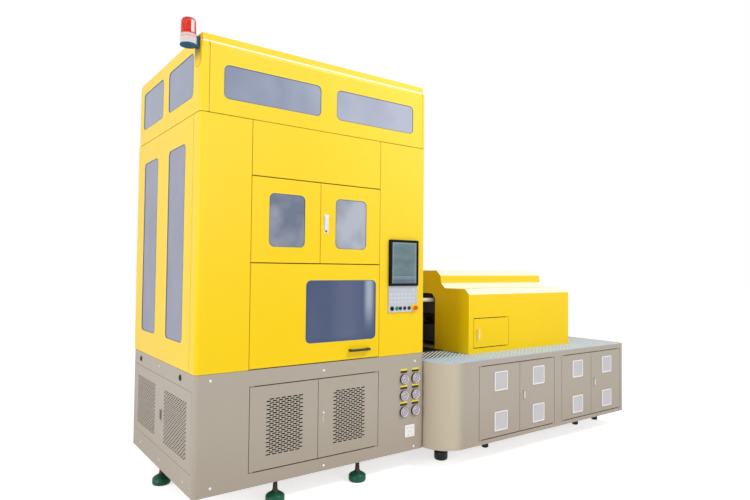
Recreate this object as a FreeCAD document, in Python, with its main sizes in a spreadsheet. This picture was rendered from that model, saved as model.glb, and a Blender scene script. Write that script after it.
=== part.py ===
"""One-step injection stretch blow moulding machine.

A guarded tower stands on its own base cabinet, and a long injection cabinet is bolted to the tower's
right side. Pieces are drawn in the machine's own coordinates: x to the right from the tower's left
face, y back from the tower's front, z up from the underside of the cabinets. The finished pieces are
then moved as one, so that the origin lies on the floor under the middle of the whole machine.
"""
import FreeCAD, Part

import math
import os

import Sketcher

SIZES = {
    # The frame: where the tower's front left foot of the drawing lies from the origin.
    "tower_left": -2380,
    "tower_front": -800,
    "foot_tall": 170,
    "lifting_round": 20,
    "lifting_up": 782,
    "lifting_front": 301,
    "lifting_rear": 1363,
    # Tower.
    "tower_wide": 2070,
    "tower_deep": 1600,
    "base_tall": 840,
    "guard_top": 2670,
    "tower_top": 3200,
    "deck_thick": 40,
    "floor_thick": 6,
    "corner_round": 30,
    "roof_round": 55,
    # Folded sheet: its skin, the depth of its folded edges, and the seams between sheets.
    "skin": 3,
    "panel_deep": 25,
    "door_deep": 20,
    "seam": 5,
    "pivot_seam": 8,
    # Door pivots: pin axis behind the front and beside the hinge edge, and the tab it turns in.
    "pivot_in": 8,
    "pin_round": 3,
    "pin_out": 3.9,
    "running_gap": 0.05,
    "tab_thick": 4,
    "stile": 16,
    "post": 60,
    # Slim latches: a plate with two ears, and the lever's pin between them.
    "latch_wide": 24,
    "latch_tall": 100,
    "ear_thick": 3,
    "ear_out": 13,
    "latch_pin_out": 8,
    "latch_pin_down": 10,
    "side_latch_at": 800,
    "side_latch_up": 211,
    "door_latch_at": 48,
    "door_latch_up": 241,
    "door_latch_wide": 39,
    "door_latch_tall": 146,
    "cabinet_latch_at": 58,
    "cabinet_latch_up": 281,
    # Bow handle of the lower door.
    "handle_left": 1261,
    "handle_low": 912,
    "handle_long": 194,
    "handle_thick": 18,
    "handle_out": 42,
    # Seams on the tower's front.
    "left_seam": 395,
    "right_seam": 1565,
    "door_middle": 980,
    "lower_door_top": 1620,
    "upper_door_top": 2260,
    "side_seam": 123,
    # Windows: pane thickness and how far a pane reaches past its opening.
    "pane_thick": 5,
    "pane_lap": 14,
    "upper_window_in": 140,
    "upper_window_wide": 303,
    "upper_window_low": 118,
    "upper_window_tall": 402,
    "lower_window_left": 463,
    "lower_window_wide": 670,
    "lower_window_low": 160,
    "lower_window_tall": 490,
    "window_round": 42,
    "side_window_low": 188,
    "side_window_tall": 1458,
    "side_window_wide": 398,
    "rear_window_in": 217,
    "front_window_in": 910,
    "hood_window_low": 115,
    "hood_window_tall": 245,
    "hood_window_wide": 802,
    "hood_window_left": 170,
    "hood_window_right": 1119,
    "hood_side_window_tall": 323,
    "hood_side_window_wide": 578,
    # Hood: seams of its front panel and the ribs that the panel is screwed to.
    "hood_seam_left": 62,
    "hood_seam_right": 2030,
    "hood_lip": 70,
    "hood_flange": 45,
    "hood_rib": 25,
    # Base doors and the slots punched in them.
    "base_door_left": 405,
    "base_door_low": 103,
    "base_door_top": 720,
    "slot_long": 60,
    "slot_tall": 9,
    "door_slots_low": 100,
    "door_slot_step": 98,
    "door_slot_pairs": 3,
    "slot_rise": 68,
    "slot_rows": 6,
    # Removable panel on the base's left side.
    "side_panel_front": 50,
    "side_panel_rear": 1550,
    "side_panel_low": 154,
    "side_panel_top": 722,
    "side_slots_low": 74,
    "side_slot_step": 162,
    "side_slot_pairs": 3,
    "side_slot_rise": 80,
    "side_slot_rows": 5,
    "front_slots_at": 870,
    "rear_slots_at": 95,
    "side_slot_long": 110,
    # Operator panel.
    "screen_left": 1662,
    "screen_wide": 314,
    "screen_low": 1438,
    "screen_tall": 399,
    "screen_deep": 26,
    "screen_rim": 22,
    "key_low": 1212,
    "key_tall": 226,
    "key_deep": 12,
    "button_row": 1245,
    "button_round": 11,
    "bore_gap": 0.3,
    "cap_proud": 6,
    "cap_seat": 5.5,
    "knob_long": 28,
    "selector_x": 1694,
    "start_x": 1748,
    "stop_x": 1786,
    "mode_x": 1834,
    "reset_x": 1883,
    "emergency_x": 1944,
    "collar_deep": 5,
    "collar_round": 27,
    "mushroom_round": 20,
    "mushroom_tall": 14,
    "mushroom_out": 12,
    # Pressure gauges.
    "gauge_left": 1841,
    "gauge_right": 1970,
    "gauge_round": 45,
    "gauge_deep": 28,
    "gauge_rim": 7,
    "gauge_recess": 6,
    "gauge_high": 628,
    "gauge_step": 141,
    # Beacon: its base plate, lamp body and lens, and the bracket on the hood's side.
    "beacon_x": -76,
    "beacon_y": 45,
    "beacon_low": 3117,
    "beacon_round": 55,
    "beacon_plate_tall": 8,
    "beacon_body_tall": 76,
    "beacon_block": 50,
    "beacon_lens_tall": 119,
    "beacon_lens_bevel": 20,
    "bracket_low": 318,
    "bracket_thick": 6,
    "bracket_wide": 100,
    "bracket_tall": 200,
    "bracket_round": 35,
    # Levelling feet: rim, dome and neck of the tower's pads, and the long cabinet's plain pads.
    "pad_tall": 50,
    "dome_tall": 35,
    "neck_tall": 40,
    "neck_round": 28,
    "tower_pad_round": 72,
    "cabinet_pad_tall": 85,
    "cabinet_pad_round": 63,
    "stud_round": 14,
    "foot_in": 60,
    # Mechanism: table centre, its stations' radius, bars, platens.
    "table_x": 1035,
    "table_y": 800,
    "table_round": 650,
    "table_low": 1800,
    "table_thick": 60,
    "shaft_round": 90,
    "station_out": 450,
    "station_wide": 90,
    "station_long": 260,
    "cavity_out": 90,
    "bar_round": 50,
    "bar_x": 750,
    "bar_y": 540,
    "platen_long": 1760,
    "platen_deep": 1320,
    "platen_thick": 150,
    "platen_low": 2150,
    "core_round": 18,
    "core_long": 210,
    "core_plate_thick": 60,
    "core_plate_wide": 220,
    "core_plate_long": 320,
    "ram_round": 100,
    "ram_long": 760,
    "cylinder_round": 190,
    "cylinder_tall": 300,
    "crown_low": 2680,
    "crown_thick": 140,
    "rod_round": 8,
    "beam_up": 260,
    "beam_wide": 120,
    "beam_long": 300,
    "beam_thick": 40,
    "drive_tall": 70,
    "mould_top": 1780,
    "mould_wide": 300,
    "mould_long": 340,
    "runner_long": 440,
    "runner_wide": 400,
    "runner_tall": 460,
    "nozzle_gap": 0.3,
    "blow_open": 60,
    "blow_thick": 150,
    "blow_long": 400,
    "blow_tall": 520,
    "blow_leg_tall": 410,
    "bottle_round": 40,
    "bottle_tall": 360,
    "bottle_low": 60,
    "bottle_neck": 16,
    # Pump unit in the tower base.
    "tank_left": 700,
    "tank_front": 700,
    "tank_long": 900,
    "tank_deep": 560,
    "tank_tall": 260,
    "motor_up": 440,
    "motor_round": 125,
    "motor_long": 420,
    "pump_round": 70,
    "pump_long": 190,
    # Injection cabinet.
    "cabinet_long": 2810,
    "cabinet_out": 250,
    "cabinet_tall": 760,
    "cabinet_door_low": 42,
    "cabinet_door_top": 706,
    "first_pair_left": 2518,
    "first_pair_middle": 3077,
    "first_pair_right": 3612,
    "second_pair_left": 3735,
    "second_pair_middle": 4252,
    "second_pair_right": 4808,
    "vent_wide": 184,
    "vent_tall": 200,
    "vent_upper": 406,
    "vent_lower": 38,
    "vent_proud": 5,
    "vent_rim": 12,
    "vent_blades": 5,
    "blade_tall": 18,
    "blade_thick": 2,
    "tread_thick": 6,
    # Control gear in the injection cabinet: a mounting plate with rows of devices.
    "gear_left": 2620,
    "gear_front": 300,
    "gear_long": 860,
    "gear_tall": 640,
    "device_wide": 130,
    "device_deep": 101,
    "device_tall": 120,
    "device_step": 165,
    "device_rise": 190,
    # Injection cover: its place and the steps of its end profile, from its front and the cabinet's top.
    "cover_left": 2688,
    "cover_long": 1587,
    "cover_front": 52,
    "cover_wide": 1496,
    "cover_shoulder": 582,
    "cover_shelf": 635,
    "cover_bevel": 53,
    "cover_shelf_in": 340,
    "cover_neck_in": 394,
    "cover_neck": 684,
    "cover_brow_in": 407,
    "cover_brow": 760,
    "cover_roof_in": 465,
    "cover_roof": 812,
    "mouth_in": 484,
    "mouth_bevel": 48,
    "mouth_tall": 574,
    "hatch_left": 2757,
    "hatch_right": 3264,
    "hatch_low": 820,
    "hatch_top": 1108,
    # Injection unit: barrel axis height, and its parts along x.
    "barrel_up": 1050,
    "barrel_round": 60,
    "screw_round": 30,
    "band_round": 72,
    "jacket_long": 840,
    "nozzle_tip": 1705,
    "nozzle_long": 95,
    "nozzle_round": 26,
    "drive_round": 120,
    "drive_long": 320,
    "carriage_left": 2850,
    "carriage_long": 500,
    "guide_up": 1266,
    "guide_out": 200,
    "guide_round": 22,
    "guide_plate": 50,
    "front_plate": 1900,
    "rear_plate": 4000,
}

doc = FreeCAD.newDocument("BlowMouldingMachine")
sheet = doc.addObject("Spreadsheet::Sheet", "Sizes")
for row, (alias, number) in enumerate(SIZES.items(), start=1):
    sheet.set(f"A{row}", alias)
    sheet.set(f"B{row}", str(number))
    sheet.setAlias(f"B{row}", alias)
doc.recompute()

pieces = []
corners = {}


# ---- Rules: text in which $name stands for a cell of the sheet ----


def rule(text):
    return str(text).replace("$", "Sizes.")


def amount(text):
    """The number that a rule gives with the sheet's sizes."""
    return float(sheet.evalExpression(rule(text)))


def bind(thing, **rules):
    for name, text in rules.items():
        thing.setExpression(name.replace("__", "."), rule(text))


def spot(thing, x, y, z):
    """Places a thing's own corner or centre, and remembers where that is."""
    corners[thing.Name] = (x, y, z)
    bind(thing, Placement__Base__x=x, Placement__Base__y=y, Placement__Base__z=z)


def piece(label, thing, x="0", y="0", z="0", turn=0):
    """Finishes a sub-part: its name, its turn about z, and its place in the machine's frame."""
    thing.Label = label
    own = corners.get(thing.Name, ("0", "0", "0"))
    if turn:
        thing.Placement = FreeCAD.Placement(
            FreeCAD.Vector(), FreeCAD.Rotation(FreeCAD.Vector(0, 0, 1), turn)
        )
    spot(
        thing,
        f"$tower_left + {x} + {own[0]}",
        f"$tower_front + {y} + {own[1]}",
        f"$foot_tall + {z} + {own[2]}",
    )
    pieces.append(thing)
    return thing


# ---- Plain solids and what is done with them ----


def box(x, y, z, long, deep, tall):
    solid = doc.addObject("Part::Box", "Box")
    spot(solid, x, y, z)
    bind(solid, Length=long, Width=deep, Height=tall)
    return solid


AXES = {
    "z": FreeCAD.Rotation(),
    "x": FreeCAD.Rotation(FreeCAD.Vector(0, 1, 0), 90),
    "y": FreeCAD.Rotation(FreeCAD.Vector(1, 0, 0), -90),
}


def rod(x, y, z, radius, length, axis="z"):
    """A round bar that starts at a point and runs along an axis."""
    solid = doc.addObject("Part::Cylinder", "Rod")
    solid.Placement = FreeCAD.Placement(FreeCAD.Vector(), AXES[axis])
    spot(solid, x, y, z)
    bind(solid, Radius=radius, Height=length)
    return solid


def fuse(*solids):
    joined = doc.addObject("Part::MultiFuse", "Joined")
    joined.Shapes = list(solids)
    joined.Refine = True
    return joined


def group(*solids):
    """Separate solids that share one node."""
    held = doc.addObject("Part::Compound", "Group")
    held.Links = list(solids)
    return held


def cut(solid, *tools):
    cutter = tools[0] if len(tools) == 1 else group(*tools)
    left = doc.addObject("Part::Cut", "Cut")
    left.Base = solid
    left.Tool = cutter
    left.Refine = True
    return left


def common(solid, tool):
    shared = doc.addObject("Part::Common", "Shared")
    shared.Base = solid
    shared.Tool = tool
    return shared


def rounded(solid, radius, wanted):
    """Rounds the edges of a box whose middle and direction pass the test wanted(middle, direction)."""
    doc.recompute([solid])
    chosen = []
    for number, edge in enumerate(solid.Shape.Edges, start=1):
        middle = edge.CenterOfMass
        along = edge.tangentAt(edge.FirstParameter)
        if wanted(middle, along):
            chosen.append((number, amount(radius), amount(radius)))
    soft = doc.addObject("Part::Fillet", "Rounded")
    soft.Base = solid
    soft.Edges = chosen
    return soft


def bevelled(solid, size, wanted):
    """Cuts a flat bevel along the edges that pass the test."""
    doc.recompute([solid])
    chosen = []
    for number, edge in enumerate(solid.Shape.Edges, start=1):
        if wanted(edge.CenterOfMass, edge.tangentAt(edge.FirstParameter)):
            chosen.append((number, amount(size), amount(size)))
    flat = doc.addObject("Part::Chamfer", "Bevelled")
    flat.Base = solid
    flat.Edges = chosen
    return flat


def upright(along):
    return abs(along.z) > 0.99


def rounded_block(x, y, z, long, deep, tall, radius, wanted=None):
    """A box with its upright edges rounded, or only the edges that pass the test."""
    block = box(x, y, z, long, deep, tall)
    return rounded(block, radius, wanted or (lambda middle, along: upright(along)))


# ---- Sketches: every size is a constraint that a rule drives ----


def sketch_on(body, role, depth="0"):
    """An empty sketch on one of a body's origin planes, moved behind it by a depth."""
    plane = next(each for each in body.Origin.OriginFeatures if each.Role == role)
    sketch = body.newObject("Sketcher::SketchObject", "Sketch")
    sketch.AttachmentSupport = [(plane, "")]
    sketch.MapMode = "FlatFace"
    bind(sketch, AttachmentOffset__Base__z=f"-({depth})")
    return sketch


def dimension(sketch, kind, ends, text):
    """One driving size; a size of nothing is kept as a point on the sketch's axis."""
    number = amount(text)
    if kind in ("DistanceX", "DistanceY") and abs(number) < 1e-9:
        axis = -2 if kind == "DistanceX" else -1
        sketch.addConstraint(Sketcher.Constraint("PointOnObject", ends[2], ends[3], axis))
        return
    index = sketch.addConstraint(Sketcher.Constraint(kind, *ends, number))
    sketch.setExpression(f"Constraints[{index}]", rule(text))


def polygon(sketch, points):
    """A closed outline with straight sides, each corner given by two rules."""
    first = sketch.GeometryCount
    spots = [FreeCAD.Vector(amount(x), amount(y), 0) for x, y in points]
    count = len(spots)
    for side in range(count):
        line = Part.LineSegment(spots[side], spots[(side + 1) % count])
        sketch.addGeometry(line, False)
    for side in range(count):
        after = first + (side + 1) % count
        sketch.addConstraint(Sketcher.Constraint("Coincident", first + side, 2, after, 1))
    for side, (x, y) in enumerate(points):
        dimension(sketch, "DistanceX", (-1, 1, first + side, 1), x)
        dimension(sketch, "DistanceY", (-1, 1, first + side, 1), y)


def rectangle(sketch, left, low, wide, tall):
    right = f"{left} + {wide}"
    top = f"{low} + {tall}"
    polygon(sketch, [(left, low), (right, low), (right, top), (left, top)])


def soft_rectangle(sketch, left, low, wide, tall, radius):
    """A rectangle with rounded corners: four lines, four arcs, five sizes."""
    first = sketch.GeometryCount
    x, y, w, t, r = (amount(text) for text in (left, low, wide, tall, radius))
    lines = [
        ((x + r, y), (x + w - r, y)),
        ((x + w, y + r), (x + w, y + t - r)),
        ((x + w - r, y + t), (x + r, y + t)),
        ((x, y + t - r), (x, y + r)),
    ]
    for start, end in lines:
        line = Part.LineSegment(FreeCAD.Vector(*start), FreeCAD.Vector(*end))
        sketch.addGeometry(line, False)
    middles = [(x + w - r, y + r), (x + w - r, y + t - r), (x + r, y + t - r), (x + r, y + r)]
    for quarter, middle in enumerate(middles):
        circle = Part.Circle(FreeCAD.Vector(*middle), FreeCAD.Vector(0, 0, 1), r)
        start = math.radians(90 * quarter - 90)
        sketch.addGeometry(Part.ArcOfCircle(circle, start, start + math.pi / 2), False)
    for side in range(4):
        arc, line = first + 4 + side, first + side
        following = first + (side + 1) % 4
        sketch.addConstraint(Sketcher.Constraint("Tangent", line, 2, arc, 1))
        sketch.addConstraint(Sketcher.Constraint("Tangent", arc, 2, following, 1))
        level = "Horizontal" if side % 2 == 0 else "Vertical"
        sketch.addConstraint(Sketcher.Constraint(level, line))
    for arc in range(first + 4, first + 7):
        sketch.addConstraint(Sketcher.Constraint("Equal", arc, arc + 1))
    dimension(sketch, "DistanceX", (-1, 1, first + 3, 1), left)
    dimension(sketch, "DistanceY", (-1, 1, first, 1), low)
    dimension(sketch, "DistanceX", (first + 3, 1, first + 1, 1), wide)
    dimension(sketch, "DistanceY", (first, 1, first + 2, 1), tall)
    dimension(sketch, "Radius", (first + 4,), radius)


def pad(body, sketch, length, back=True):
    added = body.newObject("PartDesign::Pad", "Pad")
    added.Profile = sketch
    added.Reversed = back
    bind(added, Length=length)
    return added


def pocket(body, sketch, length):
    taken = body.newObject("PartDesign::Pocket", "Pocket")
    taken.Profile = sketch
    bind(taken, Length=length)
    return taken


# ---- Folded sheet: panels and doors, seen from their front, corner at the lower left ----


def tray(wide, tall, deep, windows=()):
    """A flat sheet with its four edges folded back; windows are cut with rounded corners."""
    body = doc.addObject("PartDesign::Body", "Sheet")
    outline = sketch_on(body, "XZ_Plane")
    rectangle(outline, "0", "0", wide, tall)
    pad(body, outline, deep)
    inside = sketch_on(body, "XZ_Plane", "$skin")
    rectangle(inside, "$skin", "$skin", f"{wide} - 2 * $skin", f"{tall} - 2 * $skin")
    pocket(body, inside, deep)
    for left, low, window_wide, window_tall, radius in windows:
        opening = sketch_on(body, "XZ_Plane")
        soft_rectangle(opening, left, low, window_wide, window_tall, radius)
        pocket(body, opening, "$skin")
    return body


def slots(body, left, low, long, step, pairs, rise, rows):
    """Rows of punched slots, with every second column half a row higher."""
    sketch = sketch_on(body, "XZ_Plane")
    rectangle(sketch, left, low, long, "$slot_tall")
    rectangle(sketch, f"{left} + {step} / 2", f"{low} + {rise} / 2", long, "$slot_tall")
    punched = pocket(body, sketch, "$skin")
    pattern = body.newObject("PartDesign::LinearPattern", "Slots")
    pattern.Originals = [punched]
    pattern.Direction = (sketch, ["H_Axis"])
    pattern.Direction2 = (sketch, ["V_Axis"])
    bind(
        pattern,
        Length=f"{step} * ({pairs} - 1)",
        Occurrences=pairs,
        Length2=f"{rise} * ({rows} - 1)",
        Occurrences2=rows,
    )
    body.Tip = pattern


def hinge_stile(hinge, wide, tall):
    """The bar inside a door's hinge edge, with a turned pin at each end."""
    edge = "0" if hinge == "left" else f"{wide} - $stile"
    pin_x = "$pivot_in" if hinge == "left" else f"{wide} - $pivot_in"
    bar = box(edge, "$skin", "0", "$stile", "$stile - $skin", tall)
    low_pin = rod(pin_x, "$pivot_in", "-$pin_out", "$pin_round", "$pin_out + $skin")
    top_pin = rod(pin_x, "$pivot_in", f"{tall} - $skin", "$pin_round", "$pin_out + $skin")
    return [bar, low_pin, top_pin]


def louvre(left, low):
    """A framed vent that stands a little proud of its door, with tilted blades across it."""
    frame = box(left, "-$vent_proud", low, "$vent_wide", "$vent_proud + $skin", "$vent_tall")
    hole = box(
        f"{left} + $vent_rim",
        "-$vent_proud - 1",
        f"{low} + $vent_rim",
        "$vent_wide - 2 * $vent_rim",
        "$vent_proud + $skin + 2",
        "$vent_tall - 2 * $vent_rim",
    )
    blades = []
    for number in range(int(amount("$vent_blades"))):
        rise = f"({number} + 0.5) * ($vent_tall - 2 * $vent_rim) / $vent_blades"
        blade = box(
            f"{left} + $vent_rim - 2",
            "-3",
            f"{low} + $vent_rim + {rise}",
            "$vent_wide - 2 * $vent_rim + 4",
            "$blade_thick",
            "$blade_tall",
        )
        blade.Placement.Rotation = FreeCAD.Rotation(FreeCAD.Vector(1, 0, 0), -35)
        blades.append(blade)
    return frame, hole, blades


def latch_plate(x, z, wide="$latch_wide", tall="$latch_tall"):
    """The fixed plate of a slim latch, with the two ears that its lever turns in."""
    plate = box(f"{x} - {wide} / 2", "-$skin", z, wide, "2 * $skin", tall)
    ears = []
    for side in (f"{x} - {wide} / 2", f"{x} + {wide} / 2 - $ear_thick"):
        ear = box(side, "-$ear_out", f"{z} + {tall} - 16", "$ear_thick", "$ear_out - 2", "12")
        hole = rod(
            f"{side} - 1",
            "-$latch_pin_out",
            f"{z} + {tall} - $latch_pin_down",
            "$pin_round + $running_gap",
            "$ear_thick + 2",
            "x",
        )
        ears.append(cut(ear, hole))
    return [plate, *ears]


def latch_lever(wide="$latch_wide", tall="$latch_tall"):
    """The lever of a slim latch: a flat grip that hangs from a pin between the ears."""
    grip = box(f"-({wide} / 2 - 3.5)", "-12", "24", f"{wide} - 7", "8", f"{tall} - 34")
    pin = rod(
        f"-({wide} / 2 - 0.5)",
        "-$latch_pin_out",
        f"{tall} - $latch_pin_down",
        "$pin_round",
        f"{wide} - 1",
        "x",
    )
    return fuse(grip, pin)


def tab(edge, hinge, front, z):
    """The small plate beside a seam that a door's pin turns in; edge is the hinge seam's line."""
    reach = "$post - $panel_deep - $seam / 2"
    if hinge == "left":
        left, pin_x = f"{edge} + $seam / 2", f"{edge} + $seam / 2 + $pivot_in"
    else:
        left, pin_x = f"{edge} - $seam / 2 - ({reach})", f"{edge} - $seam / 2 - $pivot_in"
    plate = box(left, f"{front} + 1", f"{z} - $tab_thick / 2", reach, "$panel_deep", "$tab_thick")
    hole = rod(
        pin_x, f"{front} + $pivot_in", f"{z} - $tab_thick", "$pin_round + $running_gap", "2 * $tab_thick"
    )
    return cut(plate, hole)


def door_size(left, right, low, top):
    wide = f"({right} - {left} - $seam)"
    tall = f"({top} - {low} - $pivot_seam)"
    return wide, tall


def door_corner(left, low, front):
    return {"x": f"{left} + $seam / 2", "y": front, "z": f"{low} + $pivot_seam / 2"}


# ---- Tower base: one welded cabinet with a thick deck ----


def door_post(edge, hinge, front, low, tall):
    """The square post behind a hinge seam."""
    left = f"{edge} - $panel_deep" if hinge == "left" else f"{edge} - $post + $panel_deep"
    return box(left, f"{front} + $panel_deep", low, "$post", "$post", tall)


def base_cabinet():
    inner_tall = "$base_tall - $deck_thick - $floor_thick"
    outside = rounded_block("0", "0", "0", "$tower_wide", "$tower_deep", "$base_tall", "$corner_round")
    inside = rounded_block(
        "$skin",
        "$skin",
        "$floor_thick",
        "$tower_wide - 2 * $skin",
        "$tower_deep - 2 * $skin",
        inner_tall,
        "$corner_round - $skin",
    )
    doorway = box(
        "$base_door_left - $seam / 2",
        "-1",
        "$base_door_low - $pivot_seam / 2",
        "$right_seam - $base_door_left + $seam",
        "$skin + 2",
        "$base_door_top - $base_door_low + $pivot_seam",
    )
    side_way = box(
        "-1",
        "$side_panel_front",
        "$side_panel_low",
        "$skin + 2",
        "$side_panel_rear - $side_panel_front",
        "$side_panel_top - $side_panel_low",
    )
    bearing = rod(
        "$table_x",
        "$table_y",
        "$base_tall - $deck_thick - 1",
        "$shaft_round + $running_gap",
        "$deck_thick + 2",
    )
    lifting = [
        rod("-1", y, "$lifting_up", "$lifting_round", "$skin + 2", "x")
        for y in ("$lifting_front", "$lifting_rear")
    ]
    shell = cut(outside, inside, doorway, side_way, bearing, *lifting)
    posts = [
        door_post("$base_door_left", "left", "0", "$floor_thick", inner_tall),
        door_post("$right_seam", "right", "0", "$floor_thick", inner_tall),
    ]
    for rear in ("$side_panel_front - $post / 2", "$side_panel_rear - $post / 2"):
        posts.append(box("$panel_deep", rear, "$floor_thick", "$post", "$post", inner_tall))
    tabs = []
    for z in ("$base_door_low", "$base_door_top"):
        tabs.append(tab("$base_door_left", "left", "0", z))
        tabs.append(tab("$right_seam", "right", "0", z))
    return fuse(shell, *posts, *tabs)


piece("base_cabinet", base_cabinet())


def base_side_panel():
    """The lift-off panel on the left side, with two fields of slots and its latch plate between."""
    wide = "($side_panel_rear - $side_panel_front - $seam)"
    tall = "($side_panel_top - $side_panel_low - $seam)"
    body = tray(wide, tall, "$panel_deep")
    for start in ("$rear_slots_at", "$front_slots_at"):
        slots(
            body,
            start,
            "$side_slots_low",
            "$side_slot_long",
            "$side_slot_step",
            "$side_slot_pairs",
            "$side_slot_rise",
            "$side_slot_rows",
        )
    return fuse(body, *latch_plate("$side_latch_at", "$side_latch_up"))


piece(
    "base_side_panel",
    base_side_panel(),
    y="$side_panel_rear - $seam / 2",
    z="$side_panel_low + $seam / 2",
    turn=-90,
)
piece(
    "side_panel_latch",
    latch_lever(),
    y="$side_panel_rear - $seam / 2 - $side_latch_at",
    z="$side_panel_low + $seam / 2 + $side_latch_up",
    turn=-90,
)


def base_door(label, left, right, hinge):
    wide, tall = door_size(left, right, "$base_door_low", "$base_door_top")
    body = tray(wide, tall, "$door_deep")
    field = "($slot_long + $door_slot_step * ($door_slot_pairs - 0.5))"
    slots(
        body,
        f"{wide} / 2 - {field} / 2",
        "$door_slots_low",
        "$slot_long",
        "$door_slot_step",
        "$door_slot_pairs",
        "$slot_rise",
        "$slot_rows",
    )
    extras = hinge_stile(hinge, wide, tall)
    if hinge == "right":
        lock_round = 9
        extras.append(rod("44", "-4", "345", lock_round, "4 + $skin", "y"))
    return piece(label, fuse(body, *extras), **door_corner(left, "$base_door_low", "0"))


base_door("base_left_door", "$base_door_left", "$door_middle", "left")
base_door("base_right_door", "$door_middle", "$right_seam", "right")


# ---- Guard: a frame of square tube, closed by folded panels ----


def guard_frame():
    post_tall = "$guard_top + $seam / 2 - $base_tall"
    far_x = "$tower_wide - $panel_deep - $post"
    far_y = "$tower_deep - $panel_deep - $post"
    parts = []
    for x in ("$panel_deep", far_x):
        for y in ("$panel_deep", far_y):
            parts.append(box(x, y, "$base_tall", "$post", "$post", post_tall))
    for hinge, edge in (("left", "$left_seam"), ("right", "$right_seam")):
        parts.append(door_post(edge, hinge, "0", "$base_tall", post_tall))
        parts.append(tab(edge, hinge, "0", "$base_tall + $pivot_seam / 2"))
        parts.append(tab(edge, hinge, "0", "$lower_door_top"))
        parts.append(tab(edge, hinge, "0", "$upper_door_top"))
    rail_low = "$guard_top + $seam / 2 - $post"
    inner_long = "$tower_wide - 2 * $panel_deep"
    inner_deep = "$tower_deep - 2 * $panel_deep"
    for y in ("$panel_deep", far_y):
        parts.append(box("$panel_deep", y, rail_low, inner_long, "$post", "$post"))
    for x in ("$panel_deep", far_x):
        parts.append(box(x, "$panel_deep", rail_low, "$post", inner_deep, "$post"))
    middle_long = "$right_seam - $left_seam"
    middle_low = "$lower_door_top - $post / 2"
    parts.append(box("$left_seam", "$panel_deep", middle_low, middle_long, "$post", "$post"))
    return fuse(*parts)


piece("guard_frame", guard_frame())

SHEET_LOW = "$base_tall + $seam / 2"
SHEET_TALL = "($guard_top - $base_tall - $seam)"


def corner_panel(long):
    """A sheet bent round the tower's front left corner, with its two free edges folded in."""
    front_left = lambda middle, along: upright(along) and middle.x < 10 and middle.y < 10
    deep = "($side_seam - $seam / 2)"
    outside = rounded_block("0", "0", "0", long, deep, SHEET_TALL, "$corner_round", front_left)
    inner = box("$skin", "$skin", "-1", f"{long}", deep, f"{SHEET_TALL} + 2")
    inside = rounded(inner, "$corner_round - $skin", front_left)
    front_fold = box(f"{long} - $skin", "0", "0", "$skin", "$panel_deep", SHEET_TALL)
    side_fold = box("0", f"{deep} - $skin", "0", "$panel_deep", "$skin", SHEET_TALL)
    return fuse(cut(outside, inside), front_fold, side_fold)


def front_left_panel():
    return corner_panel("$left_seam - $seam / 2")


def front_right_panel():
    """The same sheet for the other corner, mirrored."""
    mirrored = doc.addObject("Part::Mirroring", "Mirrored")
    mirrored.Source = corner_panel("$tower_wide - $right_seam - $seam / 2")
    mirrored.Normal = FreeCAD.Vector(1, 0, 0)
    return mirrored


piece("front_left_panel", front_left_panel(), z=SHEET_LOW)
piece("front_right_panel", front_right_panel(), x="$tower_wide", z=SHEET_LOW)

centre_wide, centre_tall = (
    "($right_seam - $left_seam - $seam)",
    "($guard_top - $upper_door_top - $pivot_seam / 2 - $seam / 2)",
)
piece(
    "top_centre_panel",
    tray(centre_wide, centre_tall, "$panel_deep"),
    x="$left_seam + $seam / 2",
    z="$upper_door_top + $pivot_seam / 2",
)

side_wide = "($tower_deep - $side_seam - $seam / 2)"
side_windows = [
    (start, "$side_window_low", "$side_window_wide", "$side_window_tall", "$window_round")
    for start in ("$rear_window_in", "$front_window_in")
]
piece(
    "left_side_panel",
    tray(side_wide, SHEET_TALL, "$panel_deep", side_windows),
    y="$tower_deep",
    z=SHEET_LOW,
    turn=-90,
)

barrel_way_in, barrel_way_wide, barrel_way_low, barrel_way_tall = 434, 484, 36, 445
piece(
    "right_side_panel",
    tray(
        side_wide,
        SHEET_TALL,
        "$panel_deep",
        [(barrel_way_in, barrel_way_low, barrel_way_wide, barrel_way_tall, "$corner_round")],
    ),
    x="$tower_wide",
    y="$side_seam + $seam / 2",
    z=SHEET_LOW,
    turn=90,
)
piece(
    "back_panel",
    tray("($tower_wide - 2 * $panel_deep - $seam)", SHEET_TALL, "$panel_deep"),
    x="$tower_wide - $panel_deep - $seam / 2",
    y="$tower_deep",
    z=SHEET_LOW,
    turn=180,
)


def pane(left, low, wide, tall):
    """A tinted pane behind an opening, seen as its panel is."""
    return box(
        f"{left} - $pane_lap",
        "$skin",
        f"{low} - $pane_lap",
        f"{wide} + 2 * $pane_lap",
        "$pane_thick",
        f"{tall} + 2 * $pane_lap",
    )


piece(
    "side_panes",
    group(*[pane(*window[:4]) for window in side_windows]),
    y="$tower_deep",
    z=SHEET_LOW,
    turn=-90,
)


# ---- Hood: a cap with a rolled front edge, in two sheets ----

HOOD_LOW = "$guard_top + $seam / 2"
HOOD_TALL = "($tower_top - $guard_top - $seam / 2)"


def hood_form():
    """The hood's outside: its roof rolls down over front and back, and each side face has one soft
    edge all round."""
    block = box("0", "0", "0", "$tower_wide", "$tower_deep", HOOD_TALL)
    top = amount(HOOD_TALL)
    middle_x = amount("$tower_wide / 2")
    rolled = rounded(
        block,
        "$roof_round",
        lambda middle, along: abs(middle.z - top) < 1 and abs(along.x) > 0.99,
    )
    return rounded(
        rolled,
        "$corner_round",
        lambda middle, along: abs(abs(middle.x - middle_x) - middle_x) < 1 and middle.z > 1,
    )


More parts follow.
